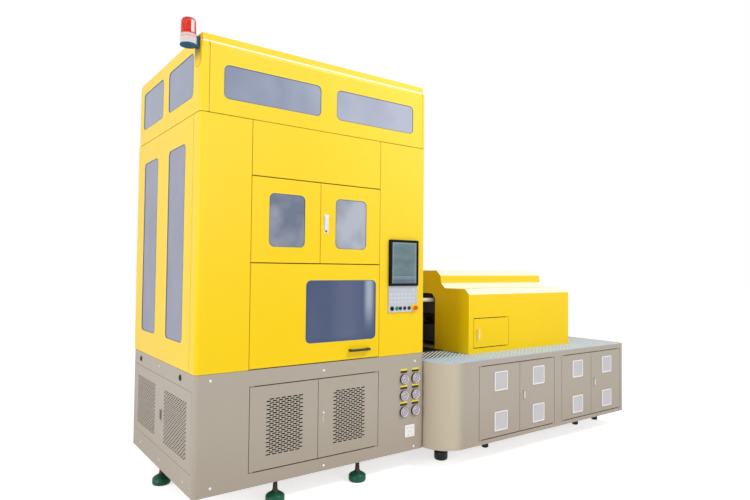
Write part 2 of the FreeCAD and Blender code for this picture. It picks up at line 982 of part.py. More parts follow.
def hood_hollow():
    """The space under the hood's sheet, bevelled where the outside is soft."""
    block = box(
        "$skin",
        "$skin",
        "0",
        "$tower_wide - 2 * $skin",
        "$tower_deep - 2 * $skin",
        f"{HOOD_TALL} - $skin",
    )
    top = amount(f"{HOOD_TALL} - $skin")
    rolled = bevelled(
        block, "$roof_round - 12", lambda middle, along: abs(middle.z - top) < 1 and abs(along.x) > 0.99
    )
    side = amount("$tower_wide / 2 - $skin")
    middle_x = amount("$tower_wide / 2")
    return bevelled(
        rolled,
        "$corner_round - 6",
        lambda middle, along: abs(abs(middle.x - middle_x) - side) < 1 and middle.z > 1,
    )


hood_windows = ("$hood_window_left", "$hood_window_right")
hood_side_windows = ("150", "875")


def hood_cutter(inset_windows, turn, origin):
    """Rounded blocks that cut the hood's windows."""
    body = doc.addObject("PartDesign::Body", "Windows")
    body.AllowCompound = True
    sketch = sketch_on(body, "XZ_Plane", "-10")
    for left, low, wide, tall in inset_windows:
        soft_rectangle(sketch, left, low, wide, tall, "$window_round")
    pad(body, sketch, "$hood_flange")
    if turn:
        body.Placement = FreeCAD.Placement(
            FreeCAD.Vector(), FreeCAD.Rotation(FreeCAD.Vector(0, 0, 1), turn)
        )
    spot(body, *origin)
    return body


def hood_pieces():
    hollow = cut(
        hood_form(),
        cut(
            hood_hollow(),
            cut(
                box("0", "0", "0", "$tower_wide", "$tower_deep", "$skin"),
                box(
                    "$hood_flange",
                    "$hood_flange",
                    "-1",
                    "$tower_wide - 2 * $hood_flange",
                    "$tower_deep - 2 * $hood_flange",
                    "$skin + 2",
                ),
            ),
        ),
    )
    front_cutter = hood_cutter(
        [
            (left, "$hood_window_low - $seam / 2", "$hood_window_wide", "$hood_window_tall")
            for left in hood_windows
        ],
        0,
        ("0", "0", "0"),
    )
    side_cutter = hood_cutter(
        [
            (left, "$hood_window_low + 10", "$hood_side_window_wide", "$hood_side_window_tall")
            for left in hood_side_windows
        ],
        -90,
        ("0", "$tower_deep", "0"),
    )
    front_space = box(
        "$hood_seam_left - $seam / 2",
        "-1",
        "-1",
        "$hood_seam_right - $hood_seam_left + $seam",
        "$hood_lip + $seam + 1",
        f"{HOOD_TALL} + 2",
    )
    front_sheet = box(
        "$hood_seam_left + $seam / 2",
        "-1",
        "-1",
        "$hood_seam_right - $hood_seam_left - $seam",
        "$hood_lip + 1",
        f"{HOOD_TALL} + 2",
    )
    ribs = []
    for x in ("$hood_seam_left - 22", "$hood_seam_right - 22"):
        ribs.append(
            box(x, "$skin", "$skin", "44", "$hood_rib", f"{HOOD_TALL} - $roof_round - $skin")
        )
    roof_rib = box(
        "$corner_round",
        "$hood_lip - 20",
        f"{HOOD_TALL} - $skin - $hood_rib",
        "$tower_wide - 2 * $corner_round",
        "44",
        "$hood_rib",
    )
    bracket_foot = amount("$bracket_low") + 1
    bracket = rounded(
        box(
            "-$bracket_thick",
            "$beacon_y - 35",
            "$bracket_low",
            "$bracket_thick",
            "$bracket_wide",
            "$bracket_tall",
        ),
        "$bracket_round",
        lambda middle, along: abs(along.x) > 0.99 and middle.z < bracket_foot,
    )
    shell = fuse(cut(hollow, front_space, side_cutter), *ribs, roof_rib, bracket)
    front = cut(common(hollow, front_sheet), front_cutter)
    return shell, front


hood_shell, hood_front = hood_pieces()
piece("hood_shell", hood_shell, z=HOOD_LOW)
piece("hood_front_panel", hood_front, z=HOOD_LOW)


def hood_panes():
    panes = []
    for left in hood_windows:
        panes.append(
            pane(left, "($hood_window_low - $seam / 2)", "$hood_window_wide", "$hood_window_tall")
        )
    for left in hood_side_windows:
        panes.append(
            box(
                "$skin",
                f"$tower_deep - {left} - $hood_side_window_wide - $pane_lap",
                "$hood_window_low + 10 - $pane_lap",
                "$pane_thick",
                "$hood_side_window_wide + 2 * $pane_lap",
                "$hood_side_window_tall + 2 * $pane_lap",
            )
        )
    return group(*panes)


piece("hood_panes", hood_panes(), z=HOOD_LOW)


# ---- Doors in the guard ----


def upper_door(side, left, right, hinge, window_left):
    low, top = "$lower_door_top", "$upper_door_top"
    wide, tall = door_size(left, right, low, top)
    window = (window_left, "$upper_window_low", "$upper_window_wide", "$upper_window_tall")
    body = tray(wide, tall, "$door_deep", [window + ("$window_round",)])
    extras = hinge_stile(hinge, wide, tall)
    if hinge == "right":
        extras += latch_plate(
            "$door_latch_at", "$door_latch_up", "$door_latch_wide", "$door_latch_tall"
        )
        extras.append(rod("$door_latch_at", "-7", "$door_latch_up + 12", "7", "5", "y"))
    corner = door_corner(left, low, "0")
    piece(f"upper_{side}_door", fuse(body, *extras), **corner)
    piece(f"upper_{side}_pane", pane(*window), **corner)


upper_door(
    "left",
    "$left_seam",
    "$door_middle",
    "left",
    "$door_middle - $left_seam - $seam / 2 - $upper_window_in - $upper_window_wide",
)
upper_door("right", "$door_middle", "$right_seam", "right", "$upper_window_in - $seam / 2")
piece(
    "upper_door_latch",
    latch_lever("$door_latch_wide", "$door_latch_tall"),
    x="$door_middle + $seam / 2 + $door_latch_at",
    z="$lower_door_top + $pivot_seam / 2 + $door_latch_up",
)

lower_low = "($base_tall + $pivot_seam / 2)"
lower_wide, lower_tall = door_size("$left_seam", "$right_seam", lower_low, "$lower_door_top")
lower_corner = door_corner("$left_seam", lower_low, "0")
lower_window = (
    "$lower_window_left - $seam / 2",
    "$lower_window_low - $pivot_seam",
    "$lower_window_wide",
    "$lower_window_tall",
)
piece(
    "lower_door",
    fuse(
        tray(lower_wide, lower_tall, "$door_deep", [lower_window + ("$window_round",)]),
        *hinge_stile("left", lower_wide, lower_tall),
    ),
    **lower_corner,
)
piece("lower_door_pane", pane(*lower_window), **lower_corner)


def bow_handle():
    """A bar held off the door by a foot at each end."""
    grip = box("0", "-$handle_out", "0", "$handle_long", "$handle_thick", "$handle_thick")
    feet = [
        box(x, "-$handle_out", "0", "$handle_thick", "$handle_out", "$handle_thick")
        for x in ("0", "$handle_long - $handle_thick")
    ]
    front = 1 - amount("$handle_out")
    return rounded(
        fuse(grip, *feet),
        "$handle_thick / 2 - 1",
        lambda middle, along: upright(along) and middle.y < front,
    )


piece("lower_door_handle", bow_handle(), x="$handle_left", z="$handle_low")


# ---- Operator panel on the right front panel ----


def screen_housing():
    """The housing of the screen, with the screen let in."""
    body = doc.addObject("PartDesign::Body", "Screen")
    outline = sketch_on(body, "XZ_Plane")
    soft_rectangle(outline, "0", "0", "$screen_wide", "$screen_tall", "8")
    pad(body, outline, "$screen_deep")
    glass = sketch_on(body, "XZ_Plane")
    rectangle(
        glass,
        "$screen_rim",
        "$screen_rim",
        "$screen_wide - 2 * $screen_rim",
        "$screen_tall - 2 * $screen_rim",
    )
    pocket(body, glass, "2")
    return body


piece("screen_housing", screen_housing(), x="$screen_left", y="-$screen_deep", z="$screen_low")

CONTROLS_FRONT = "(-$key_deep - $collar_deep)"
BUTTONS = ("start", "stop", "mode", "reset")


def key_plate():
    """The plate under the screen, with a bore for each control and the emergency stop's collar."""
    plate = box(
        "$screen_left - 4", "-$key_deep", "$key_low", "$screen_wide + 4", "$key_deep", "$key_tall"
    )
    collar = rod("$emergency_x", CONTROLS_FRONT, "$button_row", "$collar_round", "$collar_deep", "y")
    bores = [
        rod(
            f"${name}_x",
            f"{CONTROLS_FRONT} - 1",
            "$button_row",
            "$button_round + $bore_gap",
            "$key_deep + $collar_deep",
            "y",
        )
        for name in ("selector", *BUTTONS, "emergency")
    ]
    return cut(fuse(plate, collar), *bores)


piece("key_plate", key_plate())


def cap(name):
    """The round cap of a control, proud of the collar and seated in its bore."""
    return rod(
        f"${name}_x",
        f"{CONTROLS_FRONT} - $cap_proud",
        "$button_row",
        "$button_round",
        "$key_deep + $collar_deep + $cap_proud - $cap_seat",
        "y",
    )


for name in BUTTONS:
    piece(f"{name}_button", cap(name))


def selector_knob():
    """A turned cap with a bar across it."""
    bar = box(
        "$selector_x - 4",
        f"{CONTROLS_FRONT} - $cap_proud - 10",
        "$button_row - $knob_long / 2",
        "8",
        "11",
        "$knob_long",
    )
    return fuse(cap("selector"), bar)


piece("selector_knob", selector_knob())


def emergency_stop():
    """The mushroom head: a stem in the collar under a wide head."""
    stem_front = f"({CONTROLS_FRONT} - $mushroom_out)"
    stem = rod(
        "$emergency_x",
        stem_front,
        "$button_row",
        "$button_round",
        "$key_deep + $collar_deep + $mushroom_out - $cap_seat - 1",
        "y",
    )
    head = rod(
        "$emergency_x",
        f"{stem_front} - $mushroom_tall",
        "$button_row",
        "$mushroom_round",
        "$mushroom_tall + 1",
        "y",
    )
    return fuse(stem, head)


piece("emergency_stop", emergency_stop())


# ---- Pressure gauges on the base ----


def gauges():
    """Six round cases, each with its dial let in."""
    made = []
    for x in ("$gauge_left", "$gauge_right"):
        for number in range(3):
            z = f"$gauge_high - {number} * $gauge_step"
            case = rod(x, "-$gauge_deep", z, "$gauge_round", "$gauge_deep", "y")
            dial = rod(
                x, "-$gauge_deep - 1", z, "$gauge_round - $gauge_rim", "$gauge_recess + 1", "y"
            )
            made.append(cut(case, dial))
    return group(*made)


piece("pressure_gauges", gauges())


# ---- Beacon on the hood's corner ----


def beacon_base():
    """A base plate under the lamp's body, with a block behind that is bolted to the bracket."""
    place = ("$beacon_x", "$beacon_y", "$beacon_low")
    plate = rod(*place, "$beacon_round + 1", "$beacon_plate_tall")
    body = rod(*place, "$beacon_round", "$beacon_body_tall")
    block = box(
        "$beacon_x",
        "$beacon_y - $beacon_block / 2",
        "$beacon_low",
        "-$beacon_x - $bracket_thick",
        "$beacon_block",
        "$beacon_body_tall",
    )
    return fuse(plate, body, block)


def beacon_lens():
    """The lens, bevelled round its top."""
    lens_low = "($beacon_low + $beacon_body_tall)"
    lens = rod("$beacon_x", "$beacon_y", lens_low, "$beacon_round - 3", "$beacon_lens_tall")
    top = amount(f"{lens_low} + $beacon_lens_tall") - 1
    return bevelled(lens, "$beacon_lens_bevel", lambda middle, along: middle.z > top)


piece("beacon_base", beacon_base())
piece("beacon_lens", beacon_lens())


# ---- Levelling feet ----


def cone(x, y, z, low_radius, top_radius, tall):
    solid = doc.addObject("Part::Cone", "Cone")
    spot(solid, x, y, z)
    bind(solid, Radius1=low_radius, Radius2=top_radius, Height=tall)
    return solid


def stud(x, y, low):
    """A hexagonal adjusting stud that rises out of a pad to the cabinet's floor."""
    bar = doc.addObject("Part::Prism", "Stud")
    bar.Polygon = 6
    bind(bar, Circumradius="$stud_round", Height=f"$foot_tall - {low} + 1")
    spot(bar, x, y, f"{low} - $foot_tall - 1")
    return bar


def tower_foot(x, y):
    """A pad that is domed up to a conical neck."""
    dome_low = "$pad_tall - $foot_tall"
    neck_low = "$pad_tall + $dome_tall - $foot_tall"
    rim = rod(x, y, "-$foot_tall", "$tower_pad_round", "$pad_tall")
    dome = cone(x, y, dome_low, "$tower_pad_round", "$neck_round", "$dome_tall")
    neck = cone(x, y, neck_low, "$neck_round", "$stud_round + 2", "$neck_tall")
    return fuse(rim, dome, neck, stud(x, y, "($pad_tall + $dome_tall)"))


def cabinet_foot(x, y):
    """A tall plain pad."""
    round_pad = rod(x, y, "-$foot_tall", "$cabinet_pad_round", "$cabinet_pad_tall")
    return fuse(round_pad, stud(x, y, "$cabinet_pad_tall"))


def levelling_feet():
    ends = ("$foot_in", "$tower_deep - $foot_in")
    made = [tower_foot(x, y) for x in ("650", "1400") for y in ends]
    made += [tower_foot(x, "905") for x in ("$foot_in", "$tower_wide - 90")]
    made += [cabinet_foot(x, y) for x in ("2340", "2945", "4434", "4815") for y in ends]
    return group(*made)


piece("levelling_feet", levelling_feet())


# ---- Mechanism in the tower ----


BAR_PLACES = [
    (f"$table_x {across} $bar_x", f"$table_y {along} $bar_y") for across in "-+" for along in "-+"
]

# Two cavities at the table's injection station, on its right, and two at its blowing station.
INJECTION = [("$table_x + $station_out", f"$table_y {side} $cavity_out") for side in "-+"]
BLOWING = [("$table_x - $station_out", f"$table_y {side} $cavity_out") for side in "-+"]


def rods_at(places, z, radius, length):
    """Upright bars or bores of one size at several places."""
    return [rod(x, y, z, radius, length) for x, y in places]


piece(
    "tie_bars",
    group(*rods_at(BAR_PLACES, "$base_tall", "$bar_round", "$crown_low - $base_tall")),
)


def platen_block(low, thick):
    return box(
        "$table_x - $platen_long / 2",
        "$table_y - $platen_deep / 2",
        low,
        "$platen_long",
        "$platen_deep",
        thick,
    )


def crown():
    """The fixed top plate with the clamp cylinder on it, bored for the ram."""
    plate = platen_block("$crown_low", "$crown_thick")
    cylinder = rod(
        "$table_x",
        "$table_y",
        "$crown_low + $crown_thick - 1",
        "$cylinder_round",
        "$cylinder_tall + 1",
    )
    bore = rod(
        "$table_x",
        "$table_y",
        "$crown_low - 1",
        "$ram_round + $running_gap",
        "$crown_thick + $cylinder_tall - 29",
    )
    return cut(fuse(plate, cylinder), bore)


piece("crown", crown())


def moving_platen():
    """The platen on the tie bars, with its ram above and the core rods below."""
    plate = platen_block("$platen_low", "$platen_thick")
    ram = rod(
        "$table_x", "$table_y", "$platen_low + $platen_thick - 1", "$ram_round", "$ram_long + 1"
    )
    core_plate = box(
        "$table_x + $station_out - $core_plate_wide / 2",
        "$table_y - $core_plate_long / 2",
        "$platen_low - $core_plate_thick",
        "$core_plate_wide",
        "$core_plate_long",
        "$core_plate_thick + 1",
    )
    core_low = "$platen_low - $core_plate_thick - $core_long"
    cores = rods_at(INJECTION, core_low, "$core_round", "$core_long + 1")
    through = ("$platen_low - 1", "$platen_thick + 2")
    holes = rods_at(BAR_PLACES, through[0], "$bar_round + $running_gap", through[1])
    holes += rods_at(BLOWING, through[0], "$rod_round + $running_gap", through[1])
    return cut(fuse(plate, ram, core_plate, *cores), *holes)


piece("moving_platen", moving_platen())


def stretch_unit():
    """A short beam over the blow station that drives the two stretch rods."""
    x = "$table_x - $station_out"
    beam_low = "($platen_low + $platen_thick + $beam_up)"
    beam = rounded_block(
        f"{x} - $beam_wide / 2",
        "$table_y - $beam_long / 2",
        beam_low,
        "$beam_wide",
        "$beam_long",
        "$beam_thick",
        "20",
    )
    drive = rod(x, "$table_y", f"{beam_low} + $beam_thick - 1", "40", "$drive_tall + 1")
    rod_low = "($table_low + $table_thick + 40)"
    rods = rods_at(BLOWING, rod_low, "$rod_round", f"{beam_low} + 1 - {rod_low}")
    return fuse(beam, drive, *rods)


piece("stretch_unit", stretch_unit())


def turntable():
    """The round table on its shaft; the preforms hang in an opening at each of four stations."""
    table = rod("$table_x", "$table_y", "$table_low", "$table_round", "$table_thick")
    shaft_low = "($base_tall - $deck_thick)"
    shaft = rod("$table_x", "$table_y", shaft_low, "$shaft_round", f"$table_low - {shaft_low} + 1")
    through = ("$table_low - 1", "$table_thick + 2")
    openings = []
    for side in "-+":
        out = f"{side} $station_out - $station_wide / 2"
        left = ("$table_x - $station_long / 2", "$station_long")
        near = ("$table_y - $station_long / 2", "$station_long")
        openings.append(
            box(f"$table_x {out}", near[0], through[0], "$station_wide", near[1], through[1])
        )
        openings.append(
            box(left[0], f"$table_y {out}", through[0], left[1], "$station_wide", through[1])
        )
    return cut(fuse(table, shaft), *openings)


piece("turntable", turntable())


def injection_mould():
    """The hot runner block that the nozzle meets, and the cavity block under the core rods."""
    runner = box(
        "$nozzle_tip - $nozzle_gap - $runner_long",
        "$table_y - $runner_wide / 2",
        "$base_tall",
        "$runner_long",
        "$runner_wide",
        "$runner_tall",
    )
    mould = box(
        "$table_x + $station_out - $mould_wide / 2",
        "$table_y - $mould_long / 2",
        "$base_tall",
        "$mould_wide",
        "$mould_long",
        "$mould_top - $base_tall",
    )
    cavities = rods_at(INJECTION, "$mould_top - 300", "$core_round + 5", "301")
    return cut(fuse(runner, mould), *cavities)


piece("injection_mould", injection_mould())


def blow_mould(side):
    """One half of the blow mould: a block with two half bottle cavities, on a leg on the deck."""
    face = f"($table_x - $station_out {side} $blow_open)"
    left = face if side == "+" else f"({face} - $blow_thick)"
    block_low = "($base_tall + $blow_leg_tall)"
    block = box(
        left, "$table_y - $blow_long / 2", block_low, "$blow_thick", "$blow_long", "$blow_tall"
    )
    leg = box(
        f"{left} + 25",
        "$table_y - $blow_long / 2 + 50",
        "$base_tall",
        "$blow_thick - 50",
        "$blow_long - 100",
        "$blow_leg_tall + 1",
    )
    middles = [(face, y) for x, y in BLOWING]
    bottle_low = f"({block_low} + $bottle_low)"
    bottles = rods_at(middles, bottle_low, "$bottle_round", "$bottle_tall")
    neck_low = f"({bottle_low} + $bottle_tall - 1)"
    necks = rods_at(
        middles, neck_low, "$bottle_neck", f"{block_low} + $blow_tall + 1 - {neck_low}"
    )
    return cut(fuse(block, leg), *bottles, *necks)


piece("blow_mould_outer", blow_mould("-"))
piece("blow_mould_inner", blow_mould("+"))


# ---- Pump unit in the tower base ----


def pump_unit():
    """Oil tank with a motor and pump lying on it."""
    tank = box("$tank_left", "$tank_front", "$floor_thick", "$tank_long", "$tank_deep", "$tank_tall")
    tank_top = "($floor_thick + $tank_tall)"
    middle = "($tank_front + $tank_deep / 2)"
    saddle = box(
        "$tank_left + 160",
        f"{middle} - 80",
        f"{tank_top} - 1",
        "$motor_long",
        "160",
        f"$motor_up - $motor_round + 11 - {tank_top}",
    )
    motor = rod("$tank_left + 100", middle, "$motor_up", "$motor_round", "$motor_long", "x")
    pump = rod(
        "$tank_left + 99 + $motor_long", middle, "$motor_up", "$pump_round", "$pump_long", "x"
    )
    return fuse(tank, saddle, motor, pump)


piece("pump_unit", pump_unit())


# ---- Injection cabinet: rounded towards the operator, with four doors ----

CABINET_FRONT = "-$cabinet_out"
CABINET_DEEP = "($tower_deep + 2 * $cabinet_out)"
cabinet_doors = (
    ("$first_pair_left", "$first_pair_middle", "left"),
    ("$first_pair_middle", "$first_pair_right", "right"),
    ("$second_pair_left", "$second_pair_middle", "left"),
    ("$second_pair_middle", "$second_pair_right", "right"),
)


def cabinet_form(inset, low, tall):
    """The cabinet's plan, with two large and two small corners, moved inwards by inset."""
    block = box(
        f"$tower_wide + {inset}",
        f"{CABINET_FRONT} + {inset}",
        low,
        f"$cabinet_long - 2 * {inset}",
        f"{CABINET_DEEP} - 2 * {inset}",
        tall,
    )
    middle_x = amount("$tower_wide + $cabinet_long / 2")
    big = rounded(
        block, f"$cabinet_out - {inset}", lambda middle, along: upright(along) and middle.x < middle_x
    )
    return rounded(
        big,
        f"$corner_round - {inset}",
        lambda middle, along: upright(along) and middle.x > amount("$tower_wide + $cabinet_long - 40"),
    )


def injection_cabinet():
    inner_tall = "$cabinet_tall - $floor_thick - 10"
    shell_tools = [cabinet_form("$skin", "$floor_thick", inner_tall)]
    for left, right in (
        ("$first_pair_left", "$first_pair_right"),
        ("$second_pair_left", "$second_pair_right"),
    ):
        shell_tools.append(
            box(
                f"{left} - $seam / 2",
                f"{CABINET_FRONT} - 1",
                "$cabinet_door_low - $pivot_seam / 2",
                f"{right} - {left} + $seam",
                "$skin + 2",
                "$cabinet_door_top - $cabinet_door_low + $pivot_seam",
            )
        )
    shell = cut(cabinet_form("0", "0", "$cabinet_tall"), *shell_tools)
    parts = []
    for left, right, hinge in cabinet_doors:
        edge = left if hinge == "left" else right
        parts.append(door_post(edge, hinge, CABINET_FRONT, "$floor_thick", inner_tall))
        for z in ("$cabinet_door_low", "$cabinet_door_top"):
            parts.append(tab(edge, hinge, CABINET_FRONT, z))
    return fuse(shell, *parts)


piece("injection_cabinet", injection_cabinet())


def cabinet_door(number, left, right, hinge):
    wide, tall = door_size(left, right, "$cabinet_door_low", "$cabinet_door_top")
    body = tray(wide, tall, "$door_deep")
    holes, frames, blades = [], [], []
    vent_left = f"{wide} / 2 - $vent_wide / 2"
    for low in ("$vent_lower", "$vent_upper"):
        frame, hole, slats = louvre(vent_left, low)
        frames.append(frame)
        holes.append(hole)
        blades += slats
    extras = hinge_stile(hinge, wide, tall)
    if hinge == "right":
        extras += latch_plate("$cabinet_latch_at", "$cabinet_latch_up")
    door = fuse(cut(fuse(body, *frames), *holes), *blades, *extras)
    piece(f"cabinet_door_{number}", door, **door_corner(left, "$cabinet_door_low", CABINET_FRONT))
    if hinge == "right":
        piece(
            f"cabinet_latch_{number}",
            latch_lever(),
            x=f"{left} + $seam / 2 + $cabinet_latch_at",
            y=CABINET_FRONT,
            z="$cabinet_door_low + $pivot_seam / 2 + $cabinet_latch_up",
        )


for number, (left, right, hinge) in enumerate(cabinet_doors, start=1):
    cabinet_door(number, left, right, hinge)


def tread_plate():
    """The walked-on plate on the cabinet, open where the injection cover stands."""
    plate = cabinet_form("4", "$cabinet_tall", "$tread_thick")
    opening = box(
        "$cover_left",
        "$cover_front",
        "$cabinet_tall - 1",
        "$cover_long",
        "$cover_wide",
        "$tread_thick + 2",
    )
    return cut(plate, opening)


piece("tread_plate", tread_plate())


def control_gear():
    """Mounting plate with rows of switch gear, standing in the injection cabinet."""
    plate = box("$gear_left", "$gear_front", "$floor_thick", "$gear_long", "12", "$gear_tall")
    shoe = box("$gear_left", "$gear_front - 60", "$floor_thick", "$gear_long", "140", "12")
    devices = [
        box(
            f"$gear_left + 30 + {place} * $device_step",
            "$gear_front + 1 - $device_deep",
            f"$floor_thick + 84 + {level} * $device_rise",
            "$device_wide",
            "$device_deep",
            "$device_tall",
        )
        for level in range(3)
        for place in range(5)
    ]
    return fuse(plate, shoe, *devices)


piece("control_gear", control_gear())


# ---- Injection cover with its hatch ----


def profile_half():
    """The front half of the cover's end profile, from the cabinet's top to the ridge."""
    return [
        ("0", "0"),
        ("0", "$cover_shoulder"),
        ("$cover_bevel", "$cover_shelf"),
        ("$cover_shelf_in", "$cover_shelf"),
        ("$cover_neck_in", "$cover_neck"),
        ("$cover_brow_in", "$cover_brow"),
        ("$cover_roof_in", "$cover_roof"),
    ]


def cover_shell():
    body = doc.addObject("PartDesign::Body", "Cover")
    outline = sketch_on(body, "YZ_Plane")
    front = profile_half()
    back = [(f"$cover_wide - {y}", z) for y, z in reversed(front)]
    polygon(outline, front + back)
    pad(body, outline, "$cover_long", back=False)
    doc.recompute()
    under = [
        f"Face{number}"
        for number, face in enumerate(body.Shape.Faces, start=1)
        if abs(face.CenterOfMass.z) < 0.01
    ]
    shell = doc.addObject("Part::Thickness", "Shell")
    shell.Faces = (body, under)
    shell.Mode = 0
    shell.Join = 2
    bind(shell, Value="-$skin")
    return shell


def injection_cover():
    shell = cover_shell()
    mouth = doc.addObject("PartDesign::Body", "Mouth")
    outline = sketch_on(mouth, "YZ_Plane", "1")
    top = "$mouth_tall"
    half = [("$mouth_in", "0"), ("$mouth_in", f"{top} - $mouth_bevel"), ("$mouth_in + $mouth_bevel", top)]
    rest = [(f"$cover_wide - ({y})", z) for y, z in reversed(half)]
    polygon(outline, half + rest)
    pad(mouth, outline, "$skin + 2", back=False)
    hatch_way = box(
        "$hatch_left - $cover_left - $seam / 2",
        "-1",
        "$hatch_low - $cabinet_tall - $pivot_seam / 2",
        "$hatch_right - $hatch_left + $seam",
        "$skin + 2",
        "$hatch_top - $hatch_low + $pivot_seam",
    )
    edge = "$hatch_right - $cover_left"
    post = box(f"{edge} + $seam / 2", "$skin - 1", "0", "40", "$panel_deep", "$cover_shoulder")
    reach = 34
    tabs = []
    for z in ("$hatch_low - $cabinet_tall", "$hatch_top - $cabinet_tall"):
        plate = box(
            f"{edge} - $seam / 2 - {reach}",
            "1",
            f"{z} - $tab_thick / 2",
            f"{reach} + $seam + 4",
            "$panel_deep",
            "$tab_thick",
        )
        hole = rod(
            f"{edge} - $seam / 2 - $pivot_in",
            "$pivot_in",
            f"{z} - $tab_thick",
            "$pin_round + $running_gap",
            "2 * $tab_thick",
        )
        tabs.append(cut(plate, hole))
    return fuse(cut(shell, mouth, hatch_way), post, *tabs)


piece("injection_cover", injection_cover(), x="$cover_left", y="$cover_front", z="$cabinet_tall")

hatch_wide, hatch_tall = door_size("$hatch_left", "$hatch_right", "$hatch_low", "$hatch_top")
bar_left, bar_low, bar_long = 42, 83, 103
piece(
    "cover_hatch",
    fuse(
        tray(hatch_wide, hatch_tall, "$door_deep"),
        *hinge_stile("right", hatch_wide, hatch_tall),
        box(bar_left, "-30", bar_low, "12", "8", bar_long),
        box(bar_left, "-30", bar_low, "12", "30 + $skin", "10"),
        box(bar_left, "-30", bar_low + bar_long - 10, "12", "30 + $skin", "10"),
    ),
    **door_corner("$hatch_left", "$hatch_low", "$cover_front"),
)


# ---- Injection unit: guide bars, carriage, barrel and screw ----

GUIDE_SIDES = ("$table_y - $guide_out", "$table_y + $guide_out")


def guide_stand(x, low):
    """The plate that holds one end of the bars, from the surface it stands on."""
    return box(
        x,
        "$table_y - $guide_out - 40",
        low,
        "$guide_plate",
        "2 * $guide_out + 80",
        f"$guide_up + 50 - {low}",
    )


def injection_guide():
    """Two bright bars between a plate on the tower's deck and one on the injection cabinet."""
    way = rod(
        "$front_plate - 1", "$table_y", "$barrel_up", "$band_round + 12", "$guide_plate + 2", "x"
    )
    near = cut(guide_stand("$front_plate", "$base_tall"), way)
    far = guide_stand("$rear_plate", "$cabinet_tall")
    bar_left = "($front_plate + $guide_plate - 1)"
    bars = [
        rod(bar_left, y, "$guide_up", "$guide_round", f"$rear_plate + 1 - {bar_left}", "x")
        for y in GUIDE_SIDES
    ]
    return fuse(near, far, *bars)


piece("injection_guide", injection_guide())


def injection_carriage():
    """The housing that slides on the bars, with the screw's motor behind it."""
    housing = box(
        "$carriage_left",
        "$table_y - $guide_out - 40",
        "$cabinet_tall + 50",
        "$carriage_long",
        "2 * $guide_out + 80",
        "$guide_up - $cabinet_tall + 6",
    )
    motor = rod(
        "$carriage_left + $carriage_long - 1",
        "$table_y",
        "$barrel_up",
        "$drive_round",
        "$drive_long + 1",
        "x",
    )
    bores = [
        rod(
            "$carriage_left - 1",
            y,
            "$guide_up",
            "$guide_round + $running_gap",
            "$carriage_long + 2",
            "x",
        )
        for y in GUIDE_SIDES
    ]
    screw_way = rod(
        "$carriage_left - 1",
        "$table_y",
        "$barrel_up",
        "$screw_round + $running_gap",
        "$carriage_long - 40",
        "x",
    )
    return cut(fuse(housing, motor), *bores, screw_way)


piece("injection_carriage", injection_carriage())


def injection_barrel():
    """Barrel with its nozzle and heater bands, bored for the screw."""
    nozzle = rod("$nozzle_tip", "$table_y", "$barrel_up", "$nozzle_round", "$nozzle_long + 1", "x")
    tube = rod(
        "$nozzle_tip + $nozzle_long",
        "$table_y",
        "$barrel_up",
        "$barrel_round",
        "$carriage_left - $nozzle_tip - $nozzle_long",
        "x",
    )
    jacket = rod(
        "$nozzle_tip + $nozzle_long + 60", "$table_y", "$barrel_up", "$band_round", "$jacket_long", "x"
    )
    bore = rod(
        "$nozzle_tip + $nozzle_long + 20",
        "$table_y",
        "$barrel_up",
        "$screw_round + $running_gap",
        "$carriage_left - $nozzle_tip",
        "x",
    )
    return cut(fuse(nozzle, tube, jacket), bore)


piece("injection_barrel", injection_barrel())
piece(
    "injection_screw",
    rod(
        "$nozzle_tip + $nozzle_long + 30",
        "$table_y",
        "$barrel_up",
        "$screw_round",
        "$carriage_left + $carriage_long - 45 - $nozzle_tip - $nozzle_long - 30",
        "x",
    ),
)


# ---- Check every object, then write one file for each sub-part ----

doc.recompute()
unsound = [
    f"{thing.Label} ({thing.Name}): {thing.State}"
    for thing in doc.Objects
    if "Invalid" in thing.State or "Error" in thing.State
]
for thing in pieces:
    if thing.Shape.isNull() or not thing.Shape.isValid() or not thing.Shape.Solids:
        unsound.append(f"{thing.Label} has no sound shape")
if unsound:
    raise RuntimeError("; ".join(unsound))

os.makedirs("parts", exist_ok=True)
for thing in pieces:
    thing.Shape.exportStep(f"parts/{thing.Label}.step")
print(f"{len(pieces)} sub-parts written")
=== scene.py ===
import math

import bmesh
import bpy
from mathutils import Matrix, Vector


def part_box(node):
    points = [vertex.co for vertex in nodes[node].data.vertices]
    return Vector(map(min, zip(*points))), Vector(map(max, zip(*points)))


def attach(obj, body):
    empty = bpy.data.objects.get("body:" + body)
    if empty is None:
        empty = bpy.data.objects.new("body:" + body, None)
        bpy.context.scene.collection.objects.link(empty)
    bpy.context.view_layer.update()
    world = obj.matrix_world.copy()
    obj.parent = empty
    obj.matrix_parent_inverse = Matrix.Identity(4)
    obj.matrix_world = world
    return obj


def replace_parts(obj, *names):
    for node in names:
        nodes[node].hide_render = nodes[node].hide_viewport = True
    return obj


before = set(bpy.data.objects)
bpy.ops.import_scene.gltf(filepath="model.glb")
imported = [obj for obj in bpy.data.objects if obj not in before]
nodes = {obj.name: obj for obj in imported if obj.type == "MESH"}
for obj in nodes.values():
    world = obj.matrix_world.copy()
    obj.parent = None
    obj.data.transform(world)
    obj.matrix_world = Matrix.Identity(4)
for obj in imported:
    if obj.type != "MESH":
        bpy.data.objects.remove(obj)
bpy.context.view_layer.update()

# ---- Base cabinets -------------------------------------------------------------------------------
# Folded and welded sheet steel, sprayed with a warm grey powder coat that cures to a fine, slightly
# pebbled skin.


def at(x, y, z):
    """A place in mm from the tower's front left corner and the cabinets' underside, in metres."""
    return Vector((x / 1000 - 2.38, y / 1000 - 0.8, z / 1000 + 0.17))


def right_by(mm):
    return at(mm, 0, 0).x


def up_by(mm):
    return at(0, 0, mm).z


